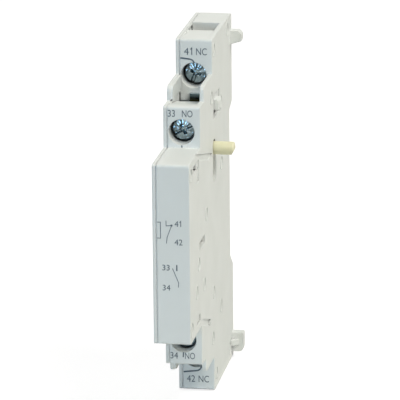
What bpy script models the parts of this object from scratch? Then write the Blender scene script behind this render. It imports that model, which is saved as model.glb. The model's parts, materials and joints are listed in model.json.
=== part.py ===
"""Side mounting auxiliary contact block with one normally open and one normally closed contact.

Block coordinates: x runs across the width from the left cover to the mating face, y runs from the front
face backwards and z runs up from mid height. One empty shifts the whole block, so that the origin of the
world lies on the mating face, at mid depth and mid height.
"""

import math

import bmesh
import bpy
from mathutils import Matrix, Vector

MM = 0.001

# Width, walls, gaps and edge radii
WIDTH = 9.0 * MM
RIB = 1.0 * MM
RIM_WALL = 1.2 * MM
SIDE_WALL = 1.0 * MM
COVER_WALL = 0.8 * MM
COVER_CHEEK = 1.4 * MM
SEAM = 0.25 * MM
CLEARANCE = 0.3 * MM
BITE = 0.4 * MM
EDGE_RADIUS = 0.8 * MM
CORNER_RADIUS = 0.6 * MM
CHEEK_RADIUS = 1.6 * MM
SHARP = 0.0
BODY_LEFT = COVER_WALL + SEAM
WALL_INSIDE = WIDTH - SIDE_WALL

# Slider, pin and springs
SLIDER_LEFT = BODY_LEFT + CLEARANCE
SLIDER_RIGHT = WALL_INSIDE - CLEARANCE
TRAVEL = 6.5 * MM
PIN_RADIUS = 1.65 * MM
PIN_REACH = 5.1 * MM
PIN_ROOT = 5.2 * MM
PIN_SLOT_MARGIN = 0.55 * MM
STEM_HALF_DEPTH = 4.2 * MM
STEM_TOP = 21.0 * MM
PIN_BELOW_TOP = 3.8 * MM
PIN_HEIGHT = STEM_TOP - PIN_BELOW_TOP
STEM_BEHIND_BAR = 3.2 * MM
SPRING_SEAT_GAP = 0.9 * MM
SPRING_SEAT_ROOM = 0.9 * MM
CAGE_HALF_DEPTH = 2.3 * MM
CAGE_BAR = 1.2 * MM
CAGE_POST = 1.0 * MM
ARM_HEIGHT = 2.8 * MM
OPEN_SPRING_LENGTH = 5.6 * MM
CLOSED_SPRING_LENGTH = 4.8 * MM
CONTACT_WIRE_RADIUS = 0.17 * MM
CONTACT_COILS = 3
SPRING_BORE_WALL = 0.675 * MM
SPRING_BORE_RADIUS = (SLIDER_RIGHT - SLIDER_LEFT) / 2 - SPRING_BORE_WALL
RETURN_SPRING_GAP = 0.55 * MM
RETURN_SPRING_RADIUS = SPRING_BORE_RADIUS - RETURN_SPRING_GAP
RETURN_WIRE_RADIUS = 0.22 * MM
RETURN_COILS = 12
SPRING_BORE_TOP = -5.0 * MM
SPRING_PEG_GAP = 0.43 * MM
SPRING_PEG_RADIUS = RETURN_SPRING_RADIUS - RETURN_WIRE_RADIUS - SPRING_PEG_GAP
SPRING_PEG_HEIGHT = 3.0 * MM

# Outer form of the block, with each step counted from the one before it
FRONT_HALF_HEIGHT = STEM_TOP + CLEARANCE + RIB
SPRING_SEAT_HEIGHT = SPRING_SEAT_ROOM - FRONT_HALF_HEIGHT
STEM_BOTTOM = SPRING_SEAT_HEIGHT + SPRING_SEAT_GAP + TRAVEL
NEAR_STEP = 10.2 * MM
CHEEK_RISE = 3.7 * MM
FAR_STEP = 12.5 * MM
NEAR_DEPTH = 16.5 * MM
FAR_SETBACK = 18.7 * MM
CHEEK_LENGTH = 13.0 * MM
NEAR_HALF_HEIGHT = FRONT_HALF_HEIGHT + NEAR_STEP
CHEEK_HALF_HEIGHT = NEAR_HALF_HEIGHT + CHEEK_RISE
HALF_HEIGHT = NEAR_HALF_HEIGHT + FAR_STEP
FAR_DEPTH = NEAR_DEPTH + FAR_SETBACK
CHEEK_DEPTH = FAR_DEPTH - CHEEK_LENGTH
RAIL_RECESS = 4.3 * MM
RAIL_TOP = 20.9 * MM
RAIL_TOP_RAMP = 1.4 * MM
RAIL_BOTTOM = -17.3 * MM
RAIL_BOTTOM_RAMP = 3.3 * MM

# Screw terminals, with depths counted from the terminal's own face
SCREW_ACROSS = (COVER_WALL + WALL_INSIDE) / 2
NEAR_SCREW_RISE = 3.9 * MM
FAR_SCREW_RISE = 3.4 * MM
NEAR_SCREW_HEIGHT = FRONT_HALF_HEIGHT + NEAR_SCREW_RISE
FAR_SCREW_HEIGHT = NEAR_HALF_HEIGHT + FAR_SCREW_RISE
TUBE_SIDE_WALL = 0.4 * MM
TUBE_RADIUS = (WALL_INSIDE - COVER_WALL) / 2 - TUBE_SIDE_WALL
HEAD_RECESS = 3.0 * MM
HEAD_GAP = 0.48 * MM
HEAD_RADIUS = TUBE_RADIUS - HEAD_GAP
HEAD_THICKNESS = 2.0 * MM
HEAD_CROWN = 0.7 * MM
SLOT_WIDTH = 0.7 * MM
SLOT_SINK = 1.0 * MM
CROSS_REACH = 1.4 * MM
COLLAR = 2.0 * MM
SHANK_RADIUS = 1.75 * MM
SHANK_CHAMFER = 0.6 * MM
THREAD_PITCH = 0.6 * MM
CLAMP_TURNS = 5.0
CLAMP_TRAVEL = THREAD_PITCH * CLAMP_TURNS
CLAMP_NUT = 2.2 * MM
CLAMP_SHEET = 0.9 * MM
CLAMP_WIDTH = WALL_INSIDE - COVER_WALL - CLEARANCE * 3
CLAMP_HEIGHT = 6.0 * MM
CLAMP_CORNER = 0.7 * MM
CLAMP_TONGUE = 2.3 * MM
SMALLEST_WIRE_GAP = 0.9 * MM
WIRE_HOLE_RIGHT = WALL_INSIDE - BITE / 4
NEAR_FUNNEL_START = 1.9 * MM
NEAR_FUNNEL_DROP = 1.9 * MM
FAR_FUNNEL_START = 0.7 * MM
FAR_FUNNEL_DROP = 0.7 * MM

# Fixed conductors
STRIP = 0.8 * MM
STRIP_SIDE_GAP = 0.25 * MM
STRIP_WIDTH = CLAMP_WIDTH - (CLAMP_SHEET + STRIP_SIDE_GAP) * 2
STRIP_BEND = 0.9 * MM

# Contact tips and moving bridges
BRIDGE_SIDE_GAP = 0.275 * MM
BRIDGE_WIDTH = SLIDER_RIGHT - SLIDER_LEFT - (CAGE_POST + BRIDGE_SIDE_GAP) * 2
TIP_MARGIN = 0.5 * MM
TIP_RADIUS = BRIDGE_WIDTH / 2 - TIP_MARGIN
TAB_REACH = TIP_RADIUS + STRIP / 2
TIP_HEIGHT = 0.6 * MM
TIP_SEAT = 0.15 * MM
TIP_MEETING = 0.2 * MM
HALF_SPAN = 5.1 * MM
BRIDGE = 0.7 * MM
CONTACT_SPRING_MARGIN = 0.55 * MM
CONTACT_SPRING_RADIUS = BRIDGE_WIDTH / 2 - CONTACT_SPRING_MARGIN
BRIDGE_END = 1.1 * MM
BRIDGE_HALF_LENGTH = HALF_SPAN + BRIDGE_END
OPEN_TAB_HEIGHT = -8.4 * MM
CLOSED_TAB_HEIGHT = 10.2 * MM
FRONT_RISER_GAP = 3.0 * MM
BACK_SPACE = 1.2 * MM
CONTACT_OPENING = 3.0 * MM
CLOSED_OVERTRAVEL = 1.5 * MM

# Side lugs that hold the block against its neighbour
LUG_REACH = 3.0 * MM
LUG_DEPTH = 3.0 * MM
UPPER_LUG_TOP = 41.0 * MM
UPPER_LUG_ROOT = 37.3 * MM
UPPER_LUG_TIP = 38.4 * MM
LUG_CHAMFER = 0.8 * MM
LOWER_LUG_TOP = -38.4 * MM
LOWER_LUG_BOTTOM = -43.4 * MM
LOWER_LUG_RADIUS = 1.1 * MM
GUSSET_HEIGHT = -40.9 * MM
GUSSET_THICKNESS = 1.4 * MM
GUSSET_DEPTH = 1.3 * MM
GUSSET_REACH = 2.4 * MM

# Windows, latches and marks of the side wall
LATCH_WINDOW_LENGTH = 9.2 * MM
LATCH_WINDOW_DROP = 2.2 * MM
LATCH_WINDOW_TOP = NEAR_HALF_HEIGHT - LATCH_WINDOW_DROP
LATCH_WINDOW_HEIGHT = 5.9 * MM
LATCH_LENGTH = 7.8 * MM
LATCH_THICKNESS = 2.6 * MM
LATCH_BARB = 0.7 * MM
LATCH_NOSE = 1.2 * MM
NOSE_LENGTH = 4.5 * MM
NOSE_RADIUS = 0.7 * MM
FRONT_LATCH_SETBACK = 4.6 * MM
FRONT_LATCH_LENGTH = 3.2 * MM
FRONT_WINDOW_LEAD = 5.0 * MM
FRONT_WINDOW_LENGTH = 8.6 * MM
FRONT_WINDOW_HEIGHT = 1.9 * MM
FRONT_WINDOW_INSET = 2.9 * MM
FRONT_WINDOW_LEVEL = FRONT_HALF_HEIGHT - FRONT_WINDOW_INSET
FRONT_GROOVE_LENGTH = 2.3 * MM
FRONT_GROOVE_DROP = 3.6 * MM
TEST_SLOT_DEPTH = 14.0 * MM
TEST_SLOT_LENGTH = 8.3 * MM
TEST_SLOT_HEIGHT = 1.9 * MM
TEST_SLOT_LEVEL = -1.65 * MM
WEDGE_SINK = 0.3 * MM
WEDGE_FRONT = 8.7 * MM
WEDGE_KNEE = 16.2 * MM
WEDGE_HEEL = 29.5 * MM
WEDGE_BACK = 34.0 * MM
WEDGE_FALL = 5.7 * MM
WEDGE_HEIGHT = 1.5 * MM
RAMP_SINK = 0.6 * MM
RAMP_SETBACK = 0.9 * MM
RAMP_FRONT = NEAR_DEPTH - RAMP_SETBACK
RAMP_LENGTH = 15.4 * MM
RAMP_RISE = 1.1 * MM
RAMP_LEVEL = RAMP_RISE - FRONT_HALF_HEIGHT
RAMP_HEIGHT = 1.5 * MM
RAMP_SLOPE = 17.0
MARK_RADIUS = 1.5 * MM
MARK_SINK = 0.15 * MM
MARKS = (
    (37.9 * MM, 41.8 * MM),
    (59.4 * MM, 42.2 * MM),
    (33.8 * MM, 30.7 * MM),
    (48.1 * MM, 26.2 * MM),
    (48.3 * MM, 10.6 * MM),
    (2.2 * MM, 19.3 * MM),
    (24.9 * MM, 3.6 * MM),
    (13.1 * MM, -5.7 * MM),
    (21.0 * MM, -13.1 * MM),
    (9.8 * MM, -12.0 * MM),
    (35.3 * MM, -19.3 * MM),
    (2.3 * MM, -19.1 * MM),
    (46.6 * MM, -26.2 * MM),
    (33.7 * MM, -30.8 * MM),
    (60.2 * MM, -41.7 * MM),
    (38.5 * MM, -41.5 * MM),
)

# Turning planes for flat outlines: columns are where the outline's own x, y and normal point
SIDE_VIEW = Matrix(((0, 0, 1), (1, 0, 0), (0, 1, 0))).to_4x4()
PLAN_VIEW = Matrix.Identity(4)
FRONT_VIEW = Matrix(((1, 0, 0), (0, 0, -1), (0, 1, 0))).to_4x4()
WELD = 0.001 * MM
TUBE_SIDES = 32
BORE_SIDES = 20

COLOURS = {
    "light_grey_plastic": ((0.68, 0.69, 0.66), 0.55, 0.0),
    "white_plastic": ((0.78, 0.79, 0.76), 0.5, 0.0),
    "yellow_plastic": ((0.72, 0.72, 0.44), 0.4, 0.0),
    "plated_steel": ((0.58, 0.6, 0.62), 0.3, 1.0),
    "brass": ((0.72, 0.55, 0.28), 0.35, 1.0),
    "silver_alloy": ((0.82, 0.81, 0.78), 0.3, 1.0),
    "spring_steel": ((0.5, 0.5, 0.5), 0.35, 1.0),
}


class Terminal:
    """Place of one screw terminal: its face, its screw and the ledge that its wire comes through."""

    def __init__(self, number, upward, near):
        self.number = number
        self.upward = upward
        self.face = NEAR_DEPTH if near else FAR_DEPTH
        self.funnel_start = NEAR_FUNNEL_START if near else FAR_FUNNEL_START
        self.funnel_drop = NEAR_FUNNEL_DROP if near else FAR_FUNNEL_DROP
        self.screw = upward * (NEAR_SCREW_HEIGHT if near else FAR_SCREW_HEIGHT)
        self.ledge = upward * (NEAR_HALF_HEIGHT if near else HALF_HEIGHT)
        self.head = self.face + HEAD_RECESS
        self.collar = self.head + HEAD_THICKNESS + CLEARANCE
        self.chamber = self.collar + COLLAR
        self.clamp = self.chamber + CLEARANCE + CLAMP_TRAVEL
        self.bar = self.clamp + CLAMP_NUT + CLEARANCE
        self.wire = self.bar + STRIP
        self.clamp_back = self.wire + CLAMP_TRAVEL + SMALLEST_WIRE_GAP + CLAMP_SHEET
        self.chamber_back = self.clamp_back + CLEARANCE
        self.bar_middle = self.bar + STRIP / 2


TERMINALS = (
    Terminal(41, 1, False),
    Terminal(33, 1, True),
    Terminal(34, -1, True),
    Terminal(42, -1, False),
)
TERMINAL_41, TERMINAL_33, TERMINAL_34, TERMINAL_42 = TERMINALS

# Places that follow from the conductors
OPEN_POLE_DEPTH = TERMINAL_34.bar_middle - TAB_REACH - HALF_SPAN
FRONT_RISER_DEPTH = OPEN_POLE_DEPTH - HALF_SPAN - FRONT_RISER_GAP
PIN_DEPTH = TERMINAL_34.bar_middle + STEM_BEHIND_BAR + STEM_HALF_DEPTH
CLOSED_POLE_DEPTH = TERMINAL_41.bar_middle - TAB_REACH + HALF_SPAN
REAR_RISER_DEPTH = CLOSED_POLE_DEPTH + HALF_SPAN + TAB_REACH
DEPTH = REAR_RISER_DEPTH + STRIP / 2 + BACK_SPACE + RIM_WALL + RAIL_RECESS
LATCH_DEPTH = TERMINAL_33.chamber_back + RIM_WALL + CLEARANCE
FRONT_LATCH_DEPTH = FRONT_RISER_DEPTH - FRONT_LATCH_SETBACK
FRONT_WINDOW_DEPTH = FRONT_LATCH_DEPTH - FRONT_WINDOW_LEAD
OPEN_BRIDGE_BOTTOM = OPEN_TAB_HEIGHT + STRIP / 2 + 2 * TIP_HEIGHT + CONTACT_OPENING
OPEN_BRIDGE_TOP = OPEN_BRIDGE_BOTTOM + BRIDGE
CLOSED_BRIDGE_TOP = CLOSED_TAB_HEIGHT - STRIP / 2 - 2 * TIP_HEIGHT - TIP_MEETING
CLOSED_BRIDGE_BOTTOM = CLOSED_BRIDGE_TOP - BRIDGE
OPEN_WINDOW_BOTTOM = OPEN_BRIDGE_BOTTOM - CLEARANCE
OPEN_WINDOW_TOP = OPEN_BRIDGE_TOP + CLEARANCE + OPEN_SPRING_LENGTH + CLEARANCE
CLOSED_WINDOW_TOP = CLOSED_BRIDGE_TOP + CLOSED_OVERTRAVEL + CLEARANCE
CLOSED_WINDOW_BOTTOM = CLOSED_BRIDGE_BOTTOM - CLEARANCE - CLOSED_SPRING_LENGTH - CLEARANCE
OPEN_CAGE_TOP = OPEN_WINDOW_TOP + CAGE_BAR
CLOSED_CAGE_BOTTOM = CLOSED_WINDOW_BOTTOM - CAGE_BAR
STEM_FRONT = PIN_DEPTH - STEM_HALF_DEPTH
STEM_BACK = PIN_DEPTH + STEM_HALF_DEPTH
SLIDER_MIDDLE = (SLIDER_LEFT + SLIDER_RIGHT) / 2


def clear_scene():
    """Removes every object that the scene starts with."""
    for thing in list(bpy.data.objects):
        bpy.data.objects.remove(thing, do_unlink=True)


def make_material(name):
    """Plain material with the real colour, roughness and metallic value."""
    colour, roughness, metallic = COLOURS[name]
    material = bpy.data.materials.new(name)
    material.use_nodes = True
    shader = material.node_tree.nodes["Principled BSDF"]
    shader.inputs["Base Color"].default_value = (*colour, 1.0)
    shader.inputs["Roughness"].default_value = roughness
    shader.inputs["Metallic"].default_value = metallic
    return material


def new_object(name, mesh):
    """Links a mesh to the scene as an object."""
    thing = bpy.data.objects.new(name, mesh)
    bpy.context.scene.collection.objects.link(thing)
    return thing


def mesh_of(thing):
    """The object's mesh with its modifiers worked out."""
    bpy.context.view_layer.update()
    graph = bpy.context.evaluated_depsgraph_get()
    return bpy.data.meshes.new_from_object(thing.evaluated_get(graph))


def solid_from_curve(curve, place):
    """Turns a closed curve object's form into a welded mesh object and removes the curve."""
    name = curve.name
    holder = bpy.data.objects.new(name + "_curve", curve)
    bpy.context.scene.collection.objects.link(holder)
    mesh = mesh_of(holder)
    bpy.data.objects.remove(holder, do_unlink=True)
    work = bmesh.new()
    work.from_mesh(mesh)
    bmesh.ops.remove_doubles(work, verts=work.verts, dist=WELD)
    work.to_mesh(mesh)
    work.free()
    mesh.transform(place)
    return new_object(name, mesh)


def plate(name, loops, low, high, view):
    """Flat plate: closed outlines, inner ones being holes, extruded from low to high along the normal."""
    curve = bpy.data.curves.new(name, "CURVE")
    curve.dimensions = "2D"
    curve.fill_mode = "BOTH"
    curve.extrude = (high - low) / 2
    for loop in loops:
        spline = curve.splines.new("POLY")
        spline.points.add(len(loop) - 1)
        for point, (across, up) in zip(spline.points, loop):
            point.co = (across, up, 0.0, 1.0)
        spline.use_cyclic_u = True
    middle = (low + high) / 2
    if view is FRONT_VIEW:
        middle = -middle
    return solid_from_curve(curve, view @ Matrix.Translation((0.0, 0.0, middle)))


def box(name, low, high):
    """Box between two corners given as (x, y, z)."""
    lowest = Vector([min(pair) for pair in zip(low, high)])
    highest = Vector([max(pair) for pair in zip(low, high)])
    size = highest - lowest
    mesh = bpy.data.meshes.new(name)
    work = bmesh.new()
    matrix = Matrix.Translation((lowest + highest) / 2) @ Matrix.Diagonal((*size, 1.0))
    bmesh.ops.create_cube(work, size=1.0, matrix=matrix)
    work.to_mesh(mesh)
    work.free()
    return new_object(name, mesh)


def rod(name, start, end, radius, sides=24):
    """Round rod between two points."""
    first = Vector(start)
    along = Vector(end) - first
    turn = along.to_track_quat("Z", "Y").to_matrix().to_4x4()
    mesh = bpy.data.meshes.new(name)
    work = bmesh.new()
    matrix = Matrix.Translation(first + along / 2) @ turn
    bmesh.ops.create_cone(
        work, cap_ends=True, segments=sides, radius1=radius, radius2=radius, depth=along.length, matrix=matrix
    )
    work.to_mesh(mesh)
    work.free()
    return new_object(name, mesh)


def turned(name, profile, place, sides=24):
    """Solid of revolution: profile of (radius, height) pairs from the top down its outer side."""
    mesh = bpy.data.meshes.new(name)
    points = [(radius, 0.0, height) for radius, height in profile]
    edges = [(index, index + 1) for index in range(len(points) - 1)]
    mesh.from_pydata(points, edges, [])
    thing = new_object(name, mesh)
    screw = thing.modifiers.new("turn", "SCREW")
    screw.steps = sides
    screw.render_steps = sides
    screw.use_merge_vertices = True
    screw.merge_threshold = WELD
    result = mesh_of(thing)
    thing.modifiers.clear()
    thing.data = result
    result.transform(place)
    return thing


def combine(body, tool, operation):
    """Joins the tool to the body, or cuts it out, and removes the tool."""
    tool.hide_render = True
    tool.display_type = "WIRE"
    modifier = body.modifiers.new(tool.name, "BOOLEAN")
    modifier.operation = operation
    modifier.solver = "EXACT"
    modifier.object = tool
    result = mesh_of(body)
    body.modifiers.clear()
    body.data = result
    bpy.data.objects.remove(tool, do_unlink=True)


def join(body, tool):
    """Adds the tool's form to the body."""
    combine(body, tool, "UNION")


def cut(body, tool):
    """Takes the tool's form out of the body."""
    combine(body, tool, "DIFFERENCE")


def rounded(corners, steps=3):
    """Outline with an arc at each corner, from (across, up, radius) corners."""
    outline = []
    count = len(corners)
    for index, (across, up, radius) in enumerate(corners):
        here = Vector((across, up))
        before = Vector(corners[index - 1][:2]) - here
        after = Vector(corners[(index + 1) % count][:2]) - here
        if radius <= 0.0:
            outline.append((across, up))
            continue
        half = before.angle(after) / 2
        reach = min(radius / math.tan(half), before.length * 0.45, after.length * 0.45)
        centre = here + (before.normalized() + after.normalized()).normalized() * (reach / math.cos(half))
        first = here + before.normalized() * reach - centre
        last = here + after.normalized() * reach - centre
        sweep = first.angle_signed(last)
        for step in range(steps + 1):
            turn = Matrix.Rotation(-sweep * step / steps, 2)
            outline.append(tuple(centre + turn @ first))
    return outline


def soften_face_rim(thing, level, radius):
    """Rounds the rim of the flat face that lies at the given x level."""
    work = bmesh.new()
    work.from_mesh(thing.data)
    work.normal_update()
    edges = []
    for edge in work.edges:
        on_level = all(abs(vert.co.x - level) < WELD for vert in edge.verts)
        if on_level and edge.calc_face_angle(0.0) > math.radians(60.0):
            edges.append(edge)
    bmesh.ops.bevel(
        work, geom=edges, offset=radius, segments=3, profile=0.5, affect="EDGES", clamp_overlap=True
    )
    bmesh.ops.remove_doubles(work, verts=work.verts, dist=WELD)
    work.to_mesh(thing.data)
    work.free()


def finish(thing, material, frame, group, pivot=(0.0, 0.0, 0.0), smooth=30.0):
    """Gives a piece its material, its origin and its place in the block's collection."""
    origin = Vector(pivot)
    thing.data.transform(Matrix.Translation(-origin))
    thing.location = origin
    thing.parent = frame
    thing.data.materials.clear()
    thing.data.materials.append(material)
    thing.data.shade_smooth()
    thing.data.set_sharp_from_angle(angle=math.radians(smooth))
    bpy.context.scene.collection.objects.unlink(thing)
    group.objects.link(thing)


def step_corners(inset, radius, cheeks):
    """Corners of the upper half of the stepped side outline, front to back, drawn in by inset."""
    front = inset
    near = NEAR_DEPTH + inset
    far = FAR_DEPTH + inset
    corners = [
        (front, FRONT_HALF_HEIGHT - inset, radius),
        (near, FRONT_HALF_HEIGHT - inset, SHARP),
        (near, NEAR_HALF_HEIGHT - inset, radius),
    ]
    if cheeks:
        corners += [
            (CHEEK_DEPTH, NEAR_HALF_HEIGHT, SHARP),
            (CHEEK_DEPTH, CHEEK_HALF_HEIGHT, CHEEK_RADIUS),
            (far, CHEEK_HALF_HEIGHT, SHARP),
        ]
    else:
        corners.append((far, NEAR_HALF_HEIGHT - inset, SHARP))
    corners += [
        (far, HALF_HEIGHT - inset, radius),
        (DEPTH - inset, HALF_HEIGHT - inset, radius),
    ]
    return corners


def block_outline(inset, radius, cheeks):
    """Whole side outline: the steps above, the recess for the rail behind and the steps below."""
    upper = step_corners(inset, radius, cheeks)
    lower = [(depth, -height, corner) for depth, height, corner in reversed(upper)]
    back = DEPTH - inset
    recess = DEPTH - RAIL_RECESS - inset
    rail = [
        (back, RAIL_TOP + RAIL_TOP_RAMP + inset, SHARP),
        (recess, RAIL_TOP + inset, SHARP),
        (recess, RAIL_BOTTOM - inset, SHARP),
        (back, RAIL_BOTTOM - RAIL_BOTTOM_RAMP - inset, SHARP),
    ]
    return rounded(upper + rail + lower)


def build_shell():
    """Tray: the stepped block with its side wall, opened from the left, and the cheeks' valleys cut."""
    shell = plate("housing_body", [block_outline(0.0, CORNER_RADIUS, True)], BODY_LEFT, WIDTH, SIDE_VIEW)
    soften_face_rim(shell, WIDTH, EDGE_RADIUS)
    hollow = [block_outline(RIM_WALL, SHARP, False)]
    cut(shell, plate("hollow", hollow, BODY_LEFT - BITE, WALL_INSIDE, SIDE_VIEW))
    for side in (1, -1):
        low = (BODY_LEFT - BITE, CHEEK_DEPTH - BITE, side * NEAR_HALF_HEIGHT)
        high = (WALL_INSIDE, FAR_DEPTH, side * (CHEEK_HALF_HEIGHT + BITE))
        cut(shell, box("valley", low, high))
    return shell


def add_terminal_block(shell, terminal):
    """Solid plastic block around one terminal's screw and clamp."""
    up = terminal.upward
    inner = terminal.screw - up * (CLAMP_HEIGHT / 2 + CLEARANCE + RIM_WALL)
    low = (BODY_LEFT, terminal.face + RIM_WALL / 2, inner)
    high = (WALL_INSIDE + SIDE_WALL / 2, terminal.chamber_back + RIM_WALL, terminal.ledge - up * RIM_WALL / 2)
    join(shell, box("terminal_block", low, high))


def cut_terminal_block(shell, terminal):
    """Screw tube, clamp chamber, wire hole with its funnel and the conductor's slot."""
    up = terminal.upward
    half = CLAMP_HEIGHT / 2 + CLEARANCE
    low = (BODY_LEFT - BITE, terminal.chamber, terminal.screw - half)
    high = (WALL_INSIDE, terminal.chamber_back, terminal.screw + half)
    cut(shell, box("chamber", low, high))
    axis = (SCREW_ACROSS, terminal.screw)
    tube = ((axis[0], terminal.face - BITE, axis[1]), (axis[0], terminal.collar, axis[1]))
    cut(shell, rod("tube", *tube, TUBE_RADIUS, TUBE_SIDES))
    bore = ((axis[0], terminal.collar - BITE, axis[1]), (axis[0], terminal.chamber + BITE, axis[1]))
    cut(shell, rod("bore", *bore, SHANK_RADIUS + CLEARANCE, BORE_SIDES))
    low = (BODY_LEFT - BITE, terminal.bar, terminal.screw)
    high = (WIRE_HOLE_RIGHT, terminal.chamber_back - CLEARANCE, terminal.ledge + up * BITE)
    cut(shell, box("wire_hole", low, high))
    start = terminal.face + terminal.funnel_start
    end = terminal.bar + BITE
    slope = [
        (start, terminal.ledge),
        (end, terminal.ledge - up * terminal.funnel_drop),
        (end, terminal.ledge + up * BITE),
        (start, terminal.ledge + up * BITE),
    ]
    cut(shell, plate("funnel", [slope], BODY_LEFT - BITE, WIRE_HOLE_RIGHT, SIDE_VIEW))
    low = (BODY_LEFT - BITE, terminal.bar - CLEARANCE, terminal.screw - up * half * 2)
    high = (SCREW_ACROSS + STRIP_WIDTH / 2 + CLEARANCE, terminal.wire + CLEARANCE, terminal.screw)
    cut(shell, box("strip_slot", low, high))


def rib_box(shell, front, back, bottom, top):
    """Rib that stands on the side wall and reaches to the seam."""
    join(shell, box("rib", (BODY_LEFT, front, bottom), (WALL_INSIDE + SIDE_WALL / 2, back, top)))


def add_guides(shell):
    """Ribs that guide the slider, its upper stop and the seat and peg of its return spring."""
    front = STEM_FRONT - CLEARANCE
    back = STEM_BACK + CLEARANCE
    stop = STEM_TOP + CLEARANCE
    arm_top = max(OPEN_CAGE_TOP, CLOSED_CAGE_BOTTOM + ARM_HEIGHT)
    arm_low = min(OPEN_CAGE_TOP - ARM_HEIGHT, CLOSED_CAGE_BOTTOM) - TRAVEL
    upper = arm_top + RIB * 4
    lower = arm_low - RIB * 4
    seat = SPRING_SEAT_HEIGHT - RIB - BITE / 2
    rib_box(shell, front - RIB, front, upper, stop + RIB)
    rib_box(shell, back, back + RIB, CLOSED_TAB_HEIGHT + RIB * 3, stop + RIB)
    rib_box(shell, STEM_FRONT + RIB * 2, back + RIB, stop, stop + RIB)
    inner = TERMINAL_34.screw + CLAMP_HEIGHT / 2 + CLEARANCE + RIM_WALL / 2
    rib_box(shell, front - RIB, front, inner, lower)
    rib_box(shell, back, back + RIB, seat, lower)
    rib_box(shell, STEM_FRONT, back + RIB, seat, SPRING_SEAT_HEIGHT)
    foot = (SLIDER_MIDDLE, PIN_DEPTH, SPRING_SEAT_HEIGHT - BITE)
    tip = (SLIDER_MIDDLE, PIN_DEPTH, SPRING_SEAT_HEIGHT + SPRING_PEG_HEIGHT)
    join(shell, rod("peg", foot, tip, SPRING_PEG_RADIUS, 16))


def add_contact_supports(shell):
    """Ribs that back the fixed contacts and hold the long conductors."""
    under = OPEN_TAB_HEIGHT - STRIP / 2 - CLEARANCE
    over = CLOSED_TAB_HEIGHT + STRIP / 2 + CLEARANCE
    front_tip = OPEN_POLE_DEPTH - HALF_SPAN
    rear_tip = CLOSED_POLE_DEPTH + HALF_SPAN
    rib_box(shell, FRONT_RISER_DEPTH, front_tip + RIB, under - RIB, under)
    bar = TERMINAL_34.bar - CLEARANCE
    rib_box(shell, bar - RIB * 2, bar, under - RIB, under)
    bar = TERMINAL_41.bar - CLEARANCE
    rib_box(shell, bar - RIB * 2, bar, over, over + RIB)
    rib_box(shell, rear_tip - RIB, REAR_RISER_DEPTH, over, over + RIB)
    riser = REAR_RISER_DEPTH + STRIP / 2 + CLEARANCE
    wall = DEPTH - RAIL_RECESS - RIM_WALL / 2
    for height in (under, CLOSED_BRIDGE_BOTTOM):
        rib_box(shell, riser, wall, height - RIB, height)
    riser = FRONT_RISER_DEPTH - STRIP / 2 - CLEARANCE
    for height in (under + RIB, CLOSED_TAB_HEIGHT):
        rib_box(shell, riser - RIB * 2, riser, height - RIB, height)


def add_lugs(shell):
    """Two lugs at the back edge that reach out of the mating face."""
    root = WIDTH - SIDE_WALL / 2
    tip = WIDTH + LUG_REACH
    low = DEPTH - LUG_DEPTH
    upper = [
        (root, UPPER_LUG_ROOT, SHARP),
        (tip, UPPER_LUG_TIP, CORNER_RADIUS / 2),
        (tip, UPPER_LUG_TOP - LUG_CHAMFER, SHARP),
        (tip - LUG_CHAMFER, UPPER_LUG_TOP, SHARP),
        (root, UPPER_LUG_TOP, SHARP),
    ]
    join(shell, plate("upper_lug", [rounded(upper)], low, DEPTH - CORNER_RADIUS / 2, FRONT_VIEW))
    lower = [
        (root, LOWER_LUG_BOTTOM, SHARP),
        (tip, LOWER_LUG_BOTTOM, LOWER_LUG_RADIUS),
        (tip, LOWER_LUG_TOP, CORNER_RADIUS / 2),
        (root, LOWER_LUG_TOP, SHARP),
    ]
    join(shell, plate("lower_lug", [rounded(lower)], low, DEPTH - CORNER_RADIUS / 2, FRONT_VIEW))
    gusset = [
        (root, low - GUSSET_DEPTH),
        (WIDTH + BITE, low - GUSSET_DEPTH),
        (WIDTH + GUSSET_REACH, low + BITE),
        (root, low + BITE),
    ]
    bottom = GUSSET_HEIGHT - GUSSET_THICKNESS / 2
    join(shell, plate("gusset", [gusset], bottom, bottom + GUSSET_THICKNESS, PLAN_VIEW))


def slot_outline(middle, bottom, top, radius, steps=8):
    """Upright slot with half round ends, as a side outline."""
    outline = []
    for centre, start in ((top - radius, 0.0), (bottom + radius, math.pi)):
        for step in range(steps + 1):
            angle = start + math.pi * step / steps
            outline.append((middle + radius * math.cos(angle), centre + radius * math.sin(angle)))
    return outline


def cut_pin_slot(shell):
    """Slot that the actuator pin travels in."""
    radius = PIN_RADIUS + PIN_SLOT_MARGIN
    outline = slot_outline(PIN_DEPTH, PIN_HEIGHT - TRAVEL - radius, PIN_HEIGHT + radius, radius)
    cut(shell, plate("pin_slot", [outline], WALL_INSIDE - BITE, WIDTH + BITE, SIDE_VIEW))


def wall_window(shell, front, length, bottom, top, floor):
    """Rectangular opening in the side wall, down to the given floor level."""
    cut(shell, box("window", (floor, front, bottom), (WIDTH + BITE, front + length, top)))


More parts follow.
